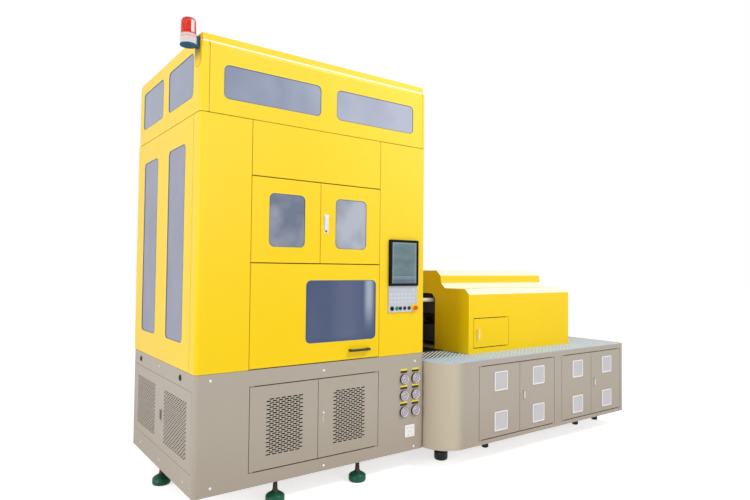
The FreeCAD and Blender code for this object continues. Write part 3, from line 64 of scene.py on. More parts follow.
class Wire:
    """A socket of a material or of a Geometry Nodes tree. Sums written on it add Math nodes."""

    def __init__(self, tree, socket=None):
        self.tree = tree
        self.socket = socket

    def node(self, kind, settings, inputs, out=0):
        """A new node: its settings come first, then the values, wires or lists of wires."""
        made = self.tree.nodes.new(kind)
        for name, value in settings.items():
            setattr(made, name, value)
        for name, value in inputs.items():
            if isinstance(value, (Wire, list)):
                for each in value if isinstance(value, list) else [value]:
                    self.tree.links.new(each.socket, made.inputs[name])
            elif value is not None:
                made.inputs[name].default_value = value
        return Wire(self.tree, made.outputs[out])

    def sum(self, operation, first, second=None):
        return self.node("ShaderNodeMath", {"operation": operation}, {0: first, 1: second})

    def __add__(self, other):
        return self.sum("ADD", self, other)

    def __sub__(self, other):
        return self.sum("SUBTRACT", self, other)

    def __rsub__(self, other):
        return self.sum("SUBTRACT", other, self)

    def __mul__(self, other):
        return self.sum("MULTIPLY", self, other)

    __radd__ = __add__
    __rmul__ = __mul__

    def __abs__(self):
        return self.sum("ABSOLUTE", self)

    def part(self):
        """What is left of this after its whole number."""
        return self.sum("FRACT", self)

    def most(self, other):
        return self.sum("MAXIMUM", self, other)

    def least(self, other):
        return self.sum("MINIMUM", self, other)

    def above(self, limit, soft=0.0005):
        """1 where this is over the limit, with a soft step."""
        ends = {"Value": self, "From Min": limit - soft, "From Max": limit + soft}
        return self.node("ShaderNodeMapRange", {"interpolation_type": "SMOOTHSTEP"}, ends)

    def below(self, limit, soft=0.0005):
        return 1 - self.above(limit, soft)

    def inside(self, low, high, soft=0.0005):
        return self.above(low, soft) * self.below(high, soft)

    def rising(self, low, high):
        """From 0 to 1 in a straight line between two limits."""
        ends = {"Value": self, "From Min": low, "From Max": high}
        return self.node("ShaderNodeMapRange", {}, ends)

    def axes(self):
        return [self.node("ShaderNodeSeparateXYZ", {}, {0: self}, out) for out in range(3)]

    def mottle(self, size, detail=2.0, rough=0.5, stretch=(1, 1, 1)):
        """Noise from 0 to 1 whose patches are about this many metres across."""
        place = self.node("ShaderNodeMapping", {}, {"Vector": self, "Scale": stretch})
        look = {"Vector": place, "Scale": 1 / size, "Detail": detail, "Roughness": rough}
        return self.node("ShaderNodeTexNoise", {}, look)

    def blend(self, first, second):
        """Colour that goes from the first to the second as this goes from 0 to 1."""
        ends = {"Factor": self, 6: first, 7: second}
        return self.node("ShaderNodeMix", {"data_type": "RGBA"}, ends, out=2)


def colour(red, green, blue):
    """A colour as it is read off a screen, from 0 to 255, in the shader's own terms."""
    shares = [channel / 255 for channel in (red, green, blue)]
    return tuple(s / 12.92 if s < 0.04045 else ((s + 0.055) / 1.055) ** 2.4 for s in shares) + (1,)


def new_finish(name, source="Object"):
    """A material with an empty surface shader, and the wire of its coordinates."""
    material = bpy.data.materials.new(name)
    material.use_nodes = True
    return material, Wire(material.node_tree).node("ShaderNodeTexCoord", {}, {}, source)


def set_finish(material, bump=None, grain=0.0002, **inputs):
    """Gives the surface shader its colours, numbers and wires; bump is a height from 0 to 1."""
    tree = material.node_tree
    shader = tree.nodes["Principled BSDF"]
    if bump is not None:
        relief = {"Height": bump, "Distance": grain, "Strength": 1.0}
        inputs["Normal"] = bump.node("ShaderNodeBump", {}, relief)
    for name, value in inputs.items():
        socket = shader.inputs[name.replace("_", " ")]
        if isinstance(value, Wire):
            tree.links.new(value.socket, socket)
        else:
            socket.default_value = value
    return material


def dress(material, *names):
    """Puts a finish on CAD nodes."""
    for name in names:
        slots = nodes[name].data.materials
        slots.clear()
        slots.append(material)


def grey_coat(name, marks=None):
    """Warm grey powder coat, a little darker and duller near the floor; marks change the colour."""
    material, place = new_finish(name)
    x, y, z = place.axes()
    tone = (place.mottle(0.9, 3) * 1.6 - 0.3).blend(colour(172, 164, 148), colour(176, 166, 156))
    tone = (z.below(up_by(250), soft=0.26) * 0.5).blend(tone, colour(164, 150, 134))
    if marks:
        tone = marks(x, y, z, tone)
    return set_finish(
        material,
        bump=place.mottle(0.0022, 1),
        grain=0.00025,
        Base_Color=tone,
        Roughness=place.mottle(0.05, 5, 0.65) * 0.16 + 0.4,
        Specular_IOR_Level=0.3,
    )


def lit_corner_mark(x, y, z, tone):
    """Painted light: the long cabinet's rolled corners, facing the light from the left, are
    painted lighter.
    """
    corner = x.inside(right_by(1960), right_by(2280), soft=0.06)
    return (corner * 0.75).blend(tone, colour(200, 188, 166))


grey = grey_coat("grey_coat")
dress(grey, "base_cabinet")
# The long cabinet's coat has painted light on its rolled corners.
dress(grey_coat("grey_coat_lit_corner", lit_corner_mark), "injection_cabinet")

# ---- Punched doors and side panel of the tower's base --------------------------------------------
# Sheet doors and a removable panel, punched with rows of round-ended slots for the pump's air.
# Every second row is half a step along. The right door carries a small turned lock.


def put(name, data):
    """An object of this data, linked into the scene."""
    made = bpy.data.objects.new(name, data)
    bpy.context.scene.collection.objects.link(made)
    return made


def link(name, form):
    """An object at the origin from a bmesh, with its faces as they are."""
    mesh = bpy.data.meshes.new(name)
    form.to_mesh(mesh)
    form.free()
    return put(name, mesh)


def settle(thing, material, body="machine", turn=Matrix()):
    """Finishes a piece: its place in its mesh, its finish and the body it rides."""
    thing.data.transform(turn)
    thing.data.materials.clear()
    thing.data.materials.append(material)
    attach(thing, body)
    return thing


def new_tree(name, **inputs):
    """A Geometry Nodes tree whose inputs have these names and kinds, and a wire for each."""
    tree = bpy.data.node_groups.new(name, "GeometryNodeTree")
    for label, kind in {"Geometry": "Geometry", **inputs}.items():
        tree.interface.new_socket(label, in_out="INPUT", socket_type="NodeSocket" + kind)
    tree.interface.new_socket("Geometry", in_out="OUTPUT", socket_type="NodeSocketGeometry")
    start = tree.nodes.new("NodeGroupInput")
    return tree, {output.name: Wire(tree, output) for output in start.outputs if output.name}


def end_tree(copies, finish):
    """Ends a tree: its copies become real and welded, and take their material."""
    real = copies.node("GeometryNodeRealizeInstances", {}, {"Geometry": copies})
    whole = real.node("GeometryNodeMergeByDistance", {}, {"Geometry": real, "Distance": 0.00001})
    painted = whole.node("GeometryNodeSetMaterial", {}, {"Geometry": whole, "Material": finish})
    end = copies.tree.nodes.new("NodeGroupOutput")
    copies.tree.links.new(painted.socket, end.inputs[0])


def shift(x, z):
    """A vector from its x and its z, either of which may be left out."""
    return (x or z).node("ShaderNodeCombineXYZ", {}, {"X": x, "Z": z})


def line_of(count, offset):
    row = {"Count": count, "Offset": offset}
    return offset.node("GeometryNodeMeshLine", {"mode": "OFFSET"}, row)


def shape_of(thing):
    return thing.node("GeometryNodeObjectInfo", {}, {"Object": thing}, "Geometry")


def copies_on(points, thing, turn=None, size=None):
    wires = {"Points": points, "Instance": thing, "Rotation": turn, "Scale": size}
    return points.node("GeometryNodeInstanceOnPoints", {}, wires)


def grow(name, tree, thing=None, **values):
    """A plain mesh object of what a tree makes of a thing, with these values on its inputs."""
    thing = thing or link("start", bmesh.new())
    modifier = thing.modifiers.new(name, "NODES")
    modifier.node_group = tree
    for item in tree.interface.items_tree:
        if item.in_out == "INPUT" and item.name in values:
            modifier[item.identifier] = values[item.name]
    bpy.context.view_layer.update()
    seen = thing.evaluated_get(bpy.context.evaluated_depsgraph_get())
    mesh = bpy.data.meshes.new_from_object(seen)
    bpy.data.objects.remove(thing)
    return put(name, mesh)


def rectangle(wide, tall, across=(-1, 1)):
    """The outline of a rectangle round the origin, with more points on its long sides if asked."""
    corners = [(x, -1) for x in across] + [(x, 1) for x in reversed(across)]
    return [(x * wide / 2, z * tall / 2) for x, z in corners]


def slot_outline(long, tall):
    """The outline of a round-ended slot."""
    bend = tall / 2
    turns = [math.radians(45 * step - 90) for step in range(5)]
    right_end = [(long / 2 - bend + bend * math.cos(turn), bend * math.sin(turn)) for turn in turns]
    return right_end + [(-x, -z) for x, z in right_end]


def pierced_plate(name, loops, thick=0.003):
    """A flat plate from its outline and a hole's: both skins and the hole's walls, edges open."""
    form = bmesh.new()
    rings = [[form.verts.new((x, 0, z)) for x, z in loop] for loop in loops]
    edges = []
    for ring in rings:
        edges += [form.edges.new(pair) for pair in zip(ring, ring[1:] + ring[:1])]
    bmesh.ops.triangle_fill(form, use_beauty=True, edges=edges, normal=(0, -1, 0))
    back = {vert: form.verts.new(vert.co + Vector((0, thick, 0))) for vert in list(form.verts)}
    for face in list(form.faces):
        form.faces.new([back[vert] for vert in reversed(face.verts)])
    for ring in rings[1:]:
        for first, second in zip(ring, ring[1:] + ring[:1]):
            form.faces.new((first, second, back[second], back[first]))
    form.normal_update()
    for face in form.faces:
        middle = face.calc_center_median()
        if abs(face.normal.y) > 0.5:
            outward = face.normal.y * (middle.y - thick / 2)
        else:
            outward = -face.normal.x * middle.x - face.normal.z * middle.z
        if outward < 0:
            face.normal_flip()
    return link(name, form)


def punched_tree():
    """Rows of cells in pairs, the second of each half a step along, with half cells at the ends."""
    names = {"Cell": "Object", "Filler": "Object", "Finish": "Material"}
    counts = {"Columns": "Int", "Pairs": "Int", "Step": "Float", "Rise": "Float"}
    tree, given = new_tree("punched_rows", **names, **counts)
    step, rise, columns = given["Step"], given["Rise"], given["Columns"]

    def moved(thing, steps, rises):
        spot = shift(step * steps, rise * rises)
        return spot.node("GeometryNodeTransform", {}, {"Geometry": thing, "Translation": spot})

    row = copies_on(line_of(columns, shift(step, None)), shape_of(given["Cell"]))
    filler = shape_of(given["Filler"])
    first_row = [moved(row, 0.5, 0.5), moved(filler, columns + 0.25, 0.5)]
    second_row = [moved(row, 1.0, 1.5), moved(filler, 0.25, 1.5)]
    pair = step.node("GeometryNodeJoinGeometry", {}, {"Geometry": first_row + second_row})
    end_tree(copies_on(line_of(given["Pairs"], shift(None, rise * 2)), pair), given["Finish"])
    return tree


def close_rims(form):
    """Walls between the front and the back of a sheet wherever its edge is open."""
    rims = [edge for edge in form.edges if edge.is_boundary]
    bmesh.ops.bridge_loops(form, edges=rims)


def opened_sheet(node, fields):
    """A welded copy of a CAD sheet, with each field cut out of its skin and the cut closed."""
    form = bmesh.new()
    form.from_mesh(nodes[node].data)
    bmesh.ops.remove_doubles(form, verts=form.verts, dist=0.00001)
    thinnest_cut = 0.02
    for low, high in fields:
        for axis in range(3):
            if high[axis] - low[axis] < thinnest_cut:
                continue
            normal = [0, 0, 0]
            normal[axis] = 1
            for corner in (low, high):
                geometry = form.verts[:] + form.edges[:] + form.faces[:]
                bmesh.ops.bisect_plane(form, geom=geometry, plane_co=corner, plane_no=normal)
        gone = []
        for face in form.faces:
            middle = face.calc_center_median()
            if all(low[axis] < middle[axis] < high[axis] for axis in range(3)):
                gone.append(face)
        bmesh.ops.delete(form, geom=gone, context="FACES")
        close_rims(form)
    return form


def punched_sheet(name, node, body, finish, fields, columns, step, rise, slot, turn=Matrix()):
    """A CAD sheet with fields of real slots; each field is its lower left corner on the sheet."""
    row_pairs = 14
    cell = pierced_plate("cell", [rectangle(step, rise, (-1, 0, 1)), slot_outline(*slot)])
    filler = pierced_plate("filler", [rectangle(step / 2, rise)])
    wide, tall = step * (columns + 0.5), rise * row_pairs * 2
    patterns = {"Cell": cell, "Filler": filler, "Finish": finish}
    sizes = {"Columns": columns, "Pairs": row_pairs, "Step": step, "Rise": rise}
    forms, boxes = [], []
    for corner in fields:
        cells = grow("slots", slot_rows, **patterns, **sizes)
        placed = Matrix.Translation(corner) @ turn
        cells.data.transform(placed)
        ends = [placed @ Vector(end) for end in ((0, -0.001, 0), (wide, 0.004, tall))]
        boxes.append([[pick(a, b) for a, b in zip(*ends)] for pick in (min, max)])
        field = bmesh.new()
        field.from_mesh(cells.data)
        close_rims(field)
        field.to_mesh(cells.data)
        field.free()
        forms.append(cells)
    whole = opened_sheet(node, boxes)
    for cells in forms:
        whole.from_mesh(cells.data)
    for used in forms + [cell, filler]:
        bpy.data.objects.remove(used)
    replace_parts(settle(link(name, whole), finish, body), node)


def lock_mark(x, y, z, tone):
    """The bright end of the small lock on the right door, and the worn paint under it."""
    middle = at(1029.5, 0, 452)
    lock = (x - middle.x) * (x - middle.x) + (z - middle.z) * (z - middle.z)
    worn = abs(x - middle.x).below(0.005, 0.003) * z.inside(middle.z - 0.075, middle.z - 0.02, 0.01)
    tone = (worn * 0.45).blend(tone, colour(222, 214, 204))
    return lock.below(0.00009, 0.00001).blend(tone, colour(240, 240, 236))


slot_rows = punched_tree()
grey_lock = grey_coat("grey_coat_lock", lock_mark)
quarter_left = Matrix.Rotation(-math.pi / 2, 4, "Z")
door_slots = (6, 0.049, 0.015, (0.038, 0.0095))
door_corners = (("left", grey, at(533.2, 0, 201.5)), ("right", grey_lock, at(1114, 0, 194)))
for side, finish, corner in door_corners:
    node = f"base_{side}_door"
    punched_sheet(f"punched_{side}", node, f"{node}_body", finish, [corner], *door_slots)
side_slots = (11, 0.0474, 0.0147, (0.035, 0.008), quarter_left)
side_fields = [at(0, 692, 222), at(0, 1458, 222)]
punched_sheet("punched_side", "base_side_panel", "machine", grey, side_fields, *side_slots)

# ---- Vent covers ---------------------------------------------------------------------------------
# White moulded covers clipped over the openings of the long cabinet's doors: a proud rounded frame
# round a bank of sloping slats.


def back_by(mm):
    return at(0, mm, 0).y


door_front = back_by(-250)
cover_width = 178


def bead(name, left, low, wide, tall, radius, section):
    """A closed bead round a rounded rectangle, in mm on the xz plane; section is (outward, y)."""
    form = bmesh.new()
    steps = 6
    rings = []
    for right, top, start in ((1, 0, -90), (1, 1, 0), (0, 1, 90), (0, 0, 180)):
        x = left + wide - radius if right else left + radius
        z = low + tall - radius if top else low + radius
        for step in range(steps + 1):
            angle = math.radians(start + 90 * step / steps)
            ring = []
            for out, y in section:
                reach = radius + out
                spot = (x + reach * math.cos(angle), y, z + reach * math.sin(angle))
                ring.append(form.verts.new([part / 1000 for part in spot]))
            rings.append(ring)
    for ring, after in zip(rings, rings[1:] + rings[:1]):
        for corner in range(len(section)):
            beyond = (corner + 1) % len(section)
            form.faces.new((ring[corner], after[corner], after[beyond], ring[beyond]))
    bmesh.ops.recalc_face_normals(form, faces=form.faces)
    return link(name, form)


def slat_tree():
    """One slat repeated up a line."""
    inputs = {"Slat": "Object", "Finish": "Material", "Count": "Int", "Rise": "Float"}
    tree, given = new_tree("slat_line", **inputs)
    points = line_of(given["Count"], shift(None, given["Rise"]))
    end_tree(copies_on(points, shape_of(given["Slat"])), given["Finish"])
    return tree


def prism(name, under, over):
    """A closed form between two rings of points, in mm."""
    form = bmesh.new()
    verts = [form.verts.new([part / 1000 for part in spot]) for spot in under + over]
    low, high = verts[: len(under)], verts[len(under) :]
    form.faces.new(low)
    form.faces.new(high)
    for side in range(len(under)):
        form.faces.new((low[side - 1], low[side], high[side], high[side - 1]))
    bmesh.ops.recalc_face_normals(form, faces=form.faces)
    return link(name, form)


def joined(name, things):
    """One object from several, at the origin."""
    form = bmesh.new()
    for thing in things:
        form.from_mesh(thing.data)
        bpy.data.objects.remove(thing)
    return link(name, form)


def white_moulding(name, marks=None):
    """White plastic or enamel with a little dust in its corners."""
    material, place = new_finish(name)
    dust = place.mottle(0.02, 4)
    tone = (dust * 0.7).blend(colour(246, 245, 244), colour(226, 224, 224))
    if marks:
        tone = marks(*place.axes(), tone)
    rough = dust * 0.2 + 0.3
    bump = place.mottle(0.001, 1)
    return set_finish(material, bump=bump, grain=0.00005, Base_Color=tone, Roughness=rough)


def vent_shade(x, y, z, tone):
    """Painted shade greys the slats recessed behind the proud rim."""
    slats = y.above(door_front - 0.0062, 0.0002)
    return (slats * 0.7).blend(tone, colour(192, 190, 196))


def vent_cover(middle, centre):
    """A square cover with its slats, round a place on the doors' front."""
    rim = [(0, 0), (0, -7.5), (-1.2, -9), (-9.5, -9), (-11, -7.5), (-11, 0)]
    corner, rounding = -cover_width / 2, 10
    rim_frame = bead("vent_frame", corner, corner, cover_width, cover_width, rounding, rim)
    outline = [(2, 0), (-5.8, 1), (-5.8, 2.4), (1, 11.5), (2, 11.5)]
    slat = prism("slat", *[[(x, y, z) for y, z in outline] for x in (-80.2, 80.2)])
    slats = grow("slats", slat_line, Slat=slat, Finish=white_vents, Count=15, Rise=0.0107)
    bpy.data.objects.remove(slat)
    lowest_slat = -0.0807
    slats.data.transform(Matrix.Translation((0, 0, lowest_slat)))
    cover = joined("vent", [rim_frame, slats])
    cover.data.transform(Matrix.Translation((middle, door_front, centre)))
    return cover


white_vents = white_moulding("white_vents", vent_shade)
grey_doors = grey_coat("grey_coat_doors")
slat_line = slat_tree()
vent_heights = [up_by(z) for z in (184, 552)]
cut_wide, cut_tall = 0.186, 0.202
opening = 0.15
cover_right_by = 0.008
for number in range(1, 5):
    node = f"cabinet_door_{number}"
    low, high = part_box(node)
    middle = (low[0] + high[0]) / 2
    fields = []
    for z in vent_heights:
        cut_low = middle - cut_wide / 2, door_front - 0.0055, z - cut_tall / 2
        cut_high = middle + cut_wide / 2, door_front + 0.013, z + cut_tall / 2
        fields.append((cut_low, cut_high))
    sheet = opened_sheet(node, fields)
    for z in vent_heights:
        loops = [rectangle(cut_wide, cut_tall), rectangle(opening, opening)]
        plate = pierced_plate("plate", loops)
        plate.data.transform(Matrix.Translation((middle, door_front, z)))
        sheet.from_mesh(plate.data)
        bpy.data.objects.remove(plate)
    panel = settle(link(f"vented_door_{number}", sheet), grey_doors, f"{node}_body")
    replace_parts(panel, node)
    covers = [vent_cover(middle + cover_right_by, z) for z in vent_heights]
    pair = joined(f"vent_covers_{number}", covers)
    settle(pair, white_vents, f"{node}_body")

# ---- Cap screws ----------------------------------------------------------------------------------
# White plastic caps pressed over the screws that hold the cabinets' skins to their frames. Each is
# a low dome about 20 mm across, and smaller on the base's side.


def scatter_tree():
    """Copies of a pattern on points, each turned so that its z axis faces out."""
    tree, given = new_tree("scatter", Pattern="Object", Finish="Material", Size="Float")
    points, size = given["Geometry"], given["Size"]
    kind = {"data_type": "FLOAT_VECTOR"}
    facing = size.node("GeometryNodeInputNamedAttribute", kind, {"Name": "facing"})
    turned = size.node("FunctionNodeAlignRotationToVector", {"axis": "Z"}, {"Vector": facing})
    end_tree(copies_on(points, shape_of(given["Pattern"]), turned, size), given["Finish"])
    return tree


def scatter(name, pattern, spots, material, size=1.0, body="machine"):
    """A finished pattern on each spot, which is a place and the direction in which it faces."""
    mesh = bpy.data.meshes.new(name)
    mesh.from_pydata([spot for spot, facing in spots], [], [])
    facing = mesh.attributes.new("facing", "FLOAT_VECTOR", "POINT")
    for number, (spot, direction) in enumerate(spots):
        facing.data[number].vector = direction
    points = put(name, mesh)
    made = grow(name, scatter_over, points, Pattern=pattern, Finish=material, Size=size)
    bpy.data.objects.remove(pattern)
    return settle(made, material, body)


def turned_form(name, outline, sides=24, ripple=0.0, ripples=0, ring_shaped=False):
    """A closed form turned about z from (radius, height) pairs in mm, with soft shading."""
    form = bmesh.new()
    rings = []
    for radius, height in outline:
        ring = []
        for side in range(sides if radius else 1):
            angle = 2 * math.pi * side / sides
            reach = radius * (1 + ripple * math.cos(ripples * angle))
            spot = (reach * math.cos(angle), reach * math.sin(angle), height)
            ring.append(form.verts.new([part / 1000 for part in spot]))
        rings.append(ring)
    for under, over in zip(rings, rings[1:] + (rings[:1] if ring_shaped else [])):
        for side in range(sides):
            pairs = [(under, side), (under, side + 1), (over, side + 1), (over, side)]
            corners = [ring[number % len(ring)] for ring, number in pairs]
            form.faces.new(list(dict.fromkeys(corners)))
    for ring in () if ring_shaped else (rings[0], rings[-1]):
        if len(ring) > 1:
            form.faces.new(ring)
    bmesh.ops.recalc_face_normals(form, faces=form.faces)
    for face in form.faces:
        face.smooth = len(face.verts) < 5
    return link(name, form)


FRONT, LEFT, BACK = (0, -1, 0), (-1, 0, 0), (0, 1, 0)
scatter_over = scatter_tree()
cap_outline = [(12, 0), (12, 1.2), (10.8, 3), (7.8, 4.4), (4, 5), (0, 5.2)]
front_caps = [(112, 795), (124, 55), (1029, 781), (1037, 40), (1964, 774), (1957, 31)]
side_caps = [(1334, 68), (778, 68), (207, 68), (826, 792)]
cap_spots = [(at(x, 0, z), FRONT) for x, z in front_caps]
cap_spots += [(at(x, 1600, z), BACK) for x, z in front_caps]
side_cap_spots = [(at(0, y, z), LEFT) for y, z in side_caps]
white_caps = white_moulding("white_caps")
cap_kinds = ("cap_screws", cap_spots, 0.85), ("side_cap_screws", side_cap_spots, 0.65)
for name, spots, size in cap_kinds:
    scatter(name, turned_form("cap", cap_outline), spots, white_caps, size)

# ---- Lifting holes -------------------------------------------------------------------------------
# Two round openings in the base's side, each with a black rubber grommet, through which lifting
# bars are pushed. A black disc behind each grommet is painted shade for the dark inside.


def toned(tone, factor, lift=0.0):
    """The same tone made lighter or darker."""
    return tuple(min(1, channel * factor + lift) for channel in tone[:3]) + (1,)


def rubber(name, tone, rough=0.6):
    material, place = new_finish(name)
    speck = place.mottle(0.002, 2)
    return set_finish(
        material,
        bump=speck,
        grain=0.0001,
        Base_Color=(place.mottle(0.05, 4) * 0.6).blend(tone, toned(tone, 1.35, 0.006)),
        Roughness=speck * 0.12 + rough - 0.06,
    )


grommet_spots = [(at(0, y, 782), LEFT) for y in (301, 1363)]
black_rubber = rubber("black_rubber", colour(12, 12, 14), 0.7)
grommet_outlines = {
    "grommets": [(16.5, 0.6), (16.5, 4), (19, 6.2), (22, 4), (23.5, 0)],
    # Black discs closing the holes: painted shade where the inside is dark.
    "hole_backs": [(16.8, 0), (16.8, 1.2), (0, 1.2)],
}
for name, outline in grommet_outlines.items():
    scatter(name, turned_form("grommet", outline, 32), grommet_spots, black_rubber)

# ---- Guard, hood and cover sheets ----------------------------------------------------------------
# Folded sheet steel under a glossy yellow powder coat. It is smooth at arm's length, with a fine
# orange peel and a clean, even tone. The swing latch's plate and the hatch's bar are fixed on it.


def yellow_coat(name, marks=None):
    """The coat; painted light makes it paler high up on the right, and a painted highlight
    turns what faces up almost white.
    """
    material, place = new_finish(name)
    x, y, z = place.axes()
    tone = (place.mottle(1.4, 2) * 1.4 - 0.2).blend(colour(246, 205, 10), colour(249, 211, 16))
    # Painted light: paler high up on the right.
    rise = z.rising(up_by(1030), up_by(3230))
    right = x.rising(right_by(780), right_by(2070))
    tone = (rise * (right * 0.6 + 0.4)).blend(tone, colour(251, 224, 84))
    # Painted highlight: what faces up is turned almost white.
    upward = x.node("ShaderNodeNewGeometry", {}, {}, "Normal").axes()[2]
    tone = upward.above(0.62, 0.06).blend(tone, colour(255, 249, 222))
    if marks:
        fitting, fitting_tone = marks(x, y, z, upward)
        tone = fitting.blend(tone, fitting_tone)
    return set_finish(
        material,
        bump=place.mottle(0.006, 2),
        grain=0.00006,
        Base_Color=tone,
        Roughness=place.mottle(0.12, 4) * 0.08 + 0.3,
        Specular_IOR_Level=0.2,
    )


def plate_marks(x, y, z, upward):
    """The swing latch's plate stands just proud of the door, and has a keyhole."""
    plate = y.below(back_by(-0.6), 0.0001)
    keyhole = abs(z - up_by(1878)).below(0.0075) * abs(x - right_by(1030.5)).below(0.0075)
    return plate, keyhole.blend(colour(238, 239, 241), colour(60, 60, 64))


def hatch_marks(x, y, z, upward):
    """The pale bar handle stands proud of the hatch."""
    return y.below(back_by(51.4), 0.0001), colour(240, 236, 206)


def end_shade_tint(x, y, z, upward):
    """Painted shade: the cover's end by the tower, in the tower's shade, is tinted greener."""
    return x.below(right_by(2691)), colour(252, 216, 6)


def hood_mark(x, y, z, upward):
    """Painted shadow darkens the beacon's bracket; along the roof's rolled edge runs a painted
    white highlight line with yellow lines beside it; the post has a seam.
    """
    roof_edge = back_by(48)
    bracket = x.below(right_by(-1), 0.0004)
    # Painted shadow of the beacon on its bracket.
    bracket_shadow = z.above(up_by(3060), 0.05).blend(colour(236, 200, 20), colour(120, 104, 0))
    # Yellow lines beside the painted highlight on the roof's rolled edge.
    yellow_edge_line = upward.above(0.7, 0.03).most(y.above(roof_edge, 0.004))
    yellow_edge_line = upward.inside(0.3, 0.97, 0.02) * yellow_edge_line
    panel_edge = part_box("hood_front_panel")[0][0]
    seam = abs(x - panel_edge).below(0.002, 0.0008) * y.below(back_by(1)) * 0.8
    # Painted highlight: a white line along the roof's rolled front edge.
    band = upward.inside(0.38, 0.7, 0.04) * y.below(roof_edge, 0.004)
    tone = seam.blend(colour(250, 217, 54), colour(112, 92, 8))
    tone = band.blend(tone, colour(255, 250, 226))
    return bracket.most(yellow_edge_line).most(seam).most(band), bracket.blend(tone, bracket_shadow)


panels = ("front_left", "front_right", "top_centre", "left_side", "right_side", "back")
plain_yellow = [f"{name}_panel" for name in panels] + ["upper_left_door", "lower_door"]
hood_yellow = yellow_coat("yellow_coat_hood", hood_mark)
dress(yellow_coat("yellow_coat"), *plain_yellow)
dress(hood_yellow, "hood_shell", "hood_front_panel")
# The cover's end carries a painted shade tint.
dress(yellow_coat("yellow_coat_end", end_shade_tint), "injection_cover")
dress(yellow_coat("yellow_coat_plate", plate_marks), "upper_right_door")
dress(yellow_coat("yellow_coat_bar", hatch_marks), "cover_hatch")

# ---- Roof cap ------------------------------------------------------------------------------------
# A shallow folded lid that closes the hood's roof, set back a little from its rolled edges. It is
# sprayed as the hood is.


def soft_box(name, low, high, bevel, material, slot):
    """A block or plate with rounded edges, between two corners in metres."""
    form = bmesh.new()
    bmesh.ops.create_cube(form, size=1)
    bmesh.ops.scale(form, vec=high - low, verts=form.verts)
    bmesh.ops.translate(form, vec=(low + high) / 2, verts=form.verts)
    bmesh.ops.bevel(form, geom=form.edges, offset=bevel, segments=3, affect="EDGES")
    return settle(link(name, form), material)


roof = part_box("hood_shell")[1][2]
roof_low, roof_high = at(3, 14, 0), at(2056, 1586, 0)
roof_low.z, roof_high.z = roof - 0.045, roof + 0.032
soft_box("roof_cap", roof_low, roof_high, 0.012, hood_yellow, "cream_enamel")

# ---- Panes ---------------------------------------------------------------------------------------
# Tinted clear plate glued behind the sheet; its milky lilac paling is painted reflection.
# A slim blue-green glazing bead lines the edge of each opening.


def tinted(material, place, tone, rough, alpha):
    """Finishes a pane: a little wavy, and glossy in patches."""
    return set_finish(
        material,
        bump=place.mottle(0.25, 1),
        grain=0.0006,
        Base_Color=tone,
        Roughness=rough * 0.12 + 0.12,
        Specular_IOR_Level=0.5,
        Alpha=alpha,
    )


def pane_tint(name, deep, pale, slope, rise, reflection_clouds):
    """Milky tint with painted reflection: paler along the slope and towards the top, with soft
    cloudy painted reflections.
    """
    material, place = new_finish(name)
    z = place.axes()[2]
    product = {"operation": "DOT_PRODUCT"}
    along = place.node("ShaderNodeVectorMath", product, {0: place, 1: slope}, "Value")
    cloud = place.mottle(reflection_clouds[0], 2, 0.45)
    share = along + z * rise[0] + rise[1] + (cloud - 0.5) * reflection_clouds[1]
    tone = share.least(1.0).most(0.0).blend(deep, pale)
    return tinted(material, place, tone, place.mottle(0.2, 3), 0.94)


def lower_pane_tint():
    """The big window's darker tint, with painted reflections: a pale upright streak near its
    right edge, a paler middle and cloudy patches; darker along its left and bottom edges.
    """
    material, place = new_finish("lower_pane_tint")
    x, y, z = place.axes()
    left, right = right_by(858), right_by(1529)
    # Painted reflections: the streak, the paler middle and the clouds.
    streak = x.inside(right - 0.105, right - 0.03, 0.03) * z.above(up_by(1190), 0.16)
    soft = x.inside(left + 0.27, right - 0.17, 0.09) * 0.35
    rim = x.below(left + 0.025, 0.02).most(z.below(up_by(1030), 0.03)) * 0.5
    cloud = place.mottle(0.3, 3, 0.5)
    tone = (cloud * 0.9 - 0.1).blend(colour(54, 76, 110), colour(74, 84, 118))
    tone = soft.blend(tone, colour(104, 108, 140))
    tone = (streak * 0.75).blend(tone, colour(176, 188, 206))
    tone = rim.blend(tone, colour(40, 62, 112))
    return tinted(material, place, tone, cloud, 0.97)


hood_tones = colour(136, 146, 170), colour(182, 188, 206)
side_tones = colour(106, 110, 138), colour(142, 144, 168)
door_tones = colour(106, 116, 138), colour(180, 184, 198)
hood_tint = pane_tint("hood_tint", *hood_tones, (0.6, 0, 0), rise=(0, 1.32), reflection_clouds=(0.4, 1.3))
side_tint = pane_tint("side_tint", *side_tones, (0, -0.2, 0), rise=(0.4, -0.2), reflection_clouds=(0.5, 0.9))
door_tint = pane_tint("door_tint", *door_tones, (1.1, 0, 0), rise=(0, 2.03), reflection_clouds=(0.24, 2.2))
dress(hood_tint, "hood_panes")
dress(side_tint, "side_panes")
dress(door_tint, "upper_left_pane", "upper_right_pane")
dress(lower_pane_tint(), "lower_door_pane")

glazing = rubber("glazing_bead", colour(34, 88, 128), 0.45)
bead_section = [(0, -0.4), (-1.8, -1.0), (-3.4, -0.2), (-3.4, 3.2), (0, 3.2)]
corner_radius = 42
front_windows = [
    ("bead_upper_left", "upper_left_door_body", (537, 1742, 303, 402)),
    ("bead_upper_right", "upper_right_door_body", (1120, 1742, 303, 402)),
    ("bead_lower", "lower_door_body", (858, 1000, 670, 490)),
    ("bead_hood_left", "machine", (170, 2785, 802, 245)),
    ("bead_hood_right", "machine", (1119, 2785, 802, 245)),
]
side_windows = [
    ("bead_hood_side_rear", "machine", (150, 2797.5, 578, 323)),
    ("bead_hood_side_front", "machine", (875, 2797.5, 578, 323)),
    ("bead_side_rear", "machine", (217, 1030.5, 398, 1458)),
    ("bead_side_front", "machine", (910, 1030.5, 398, 1458)),
]
front_place = Matrix.Translation(at(0, 0, 0))
side_place = Matrix.Translation(at(0, 1600, 0)) @ quarter_left
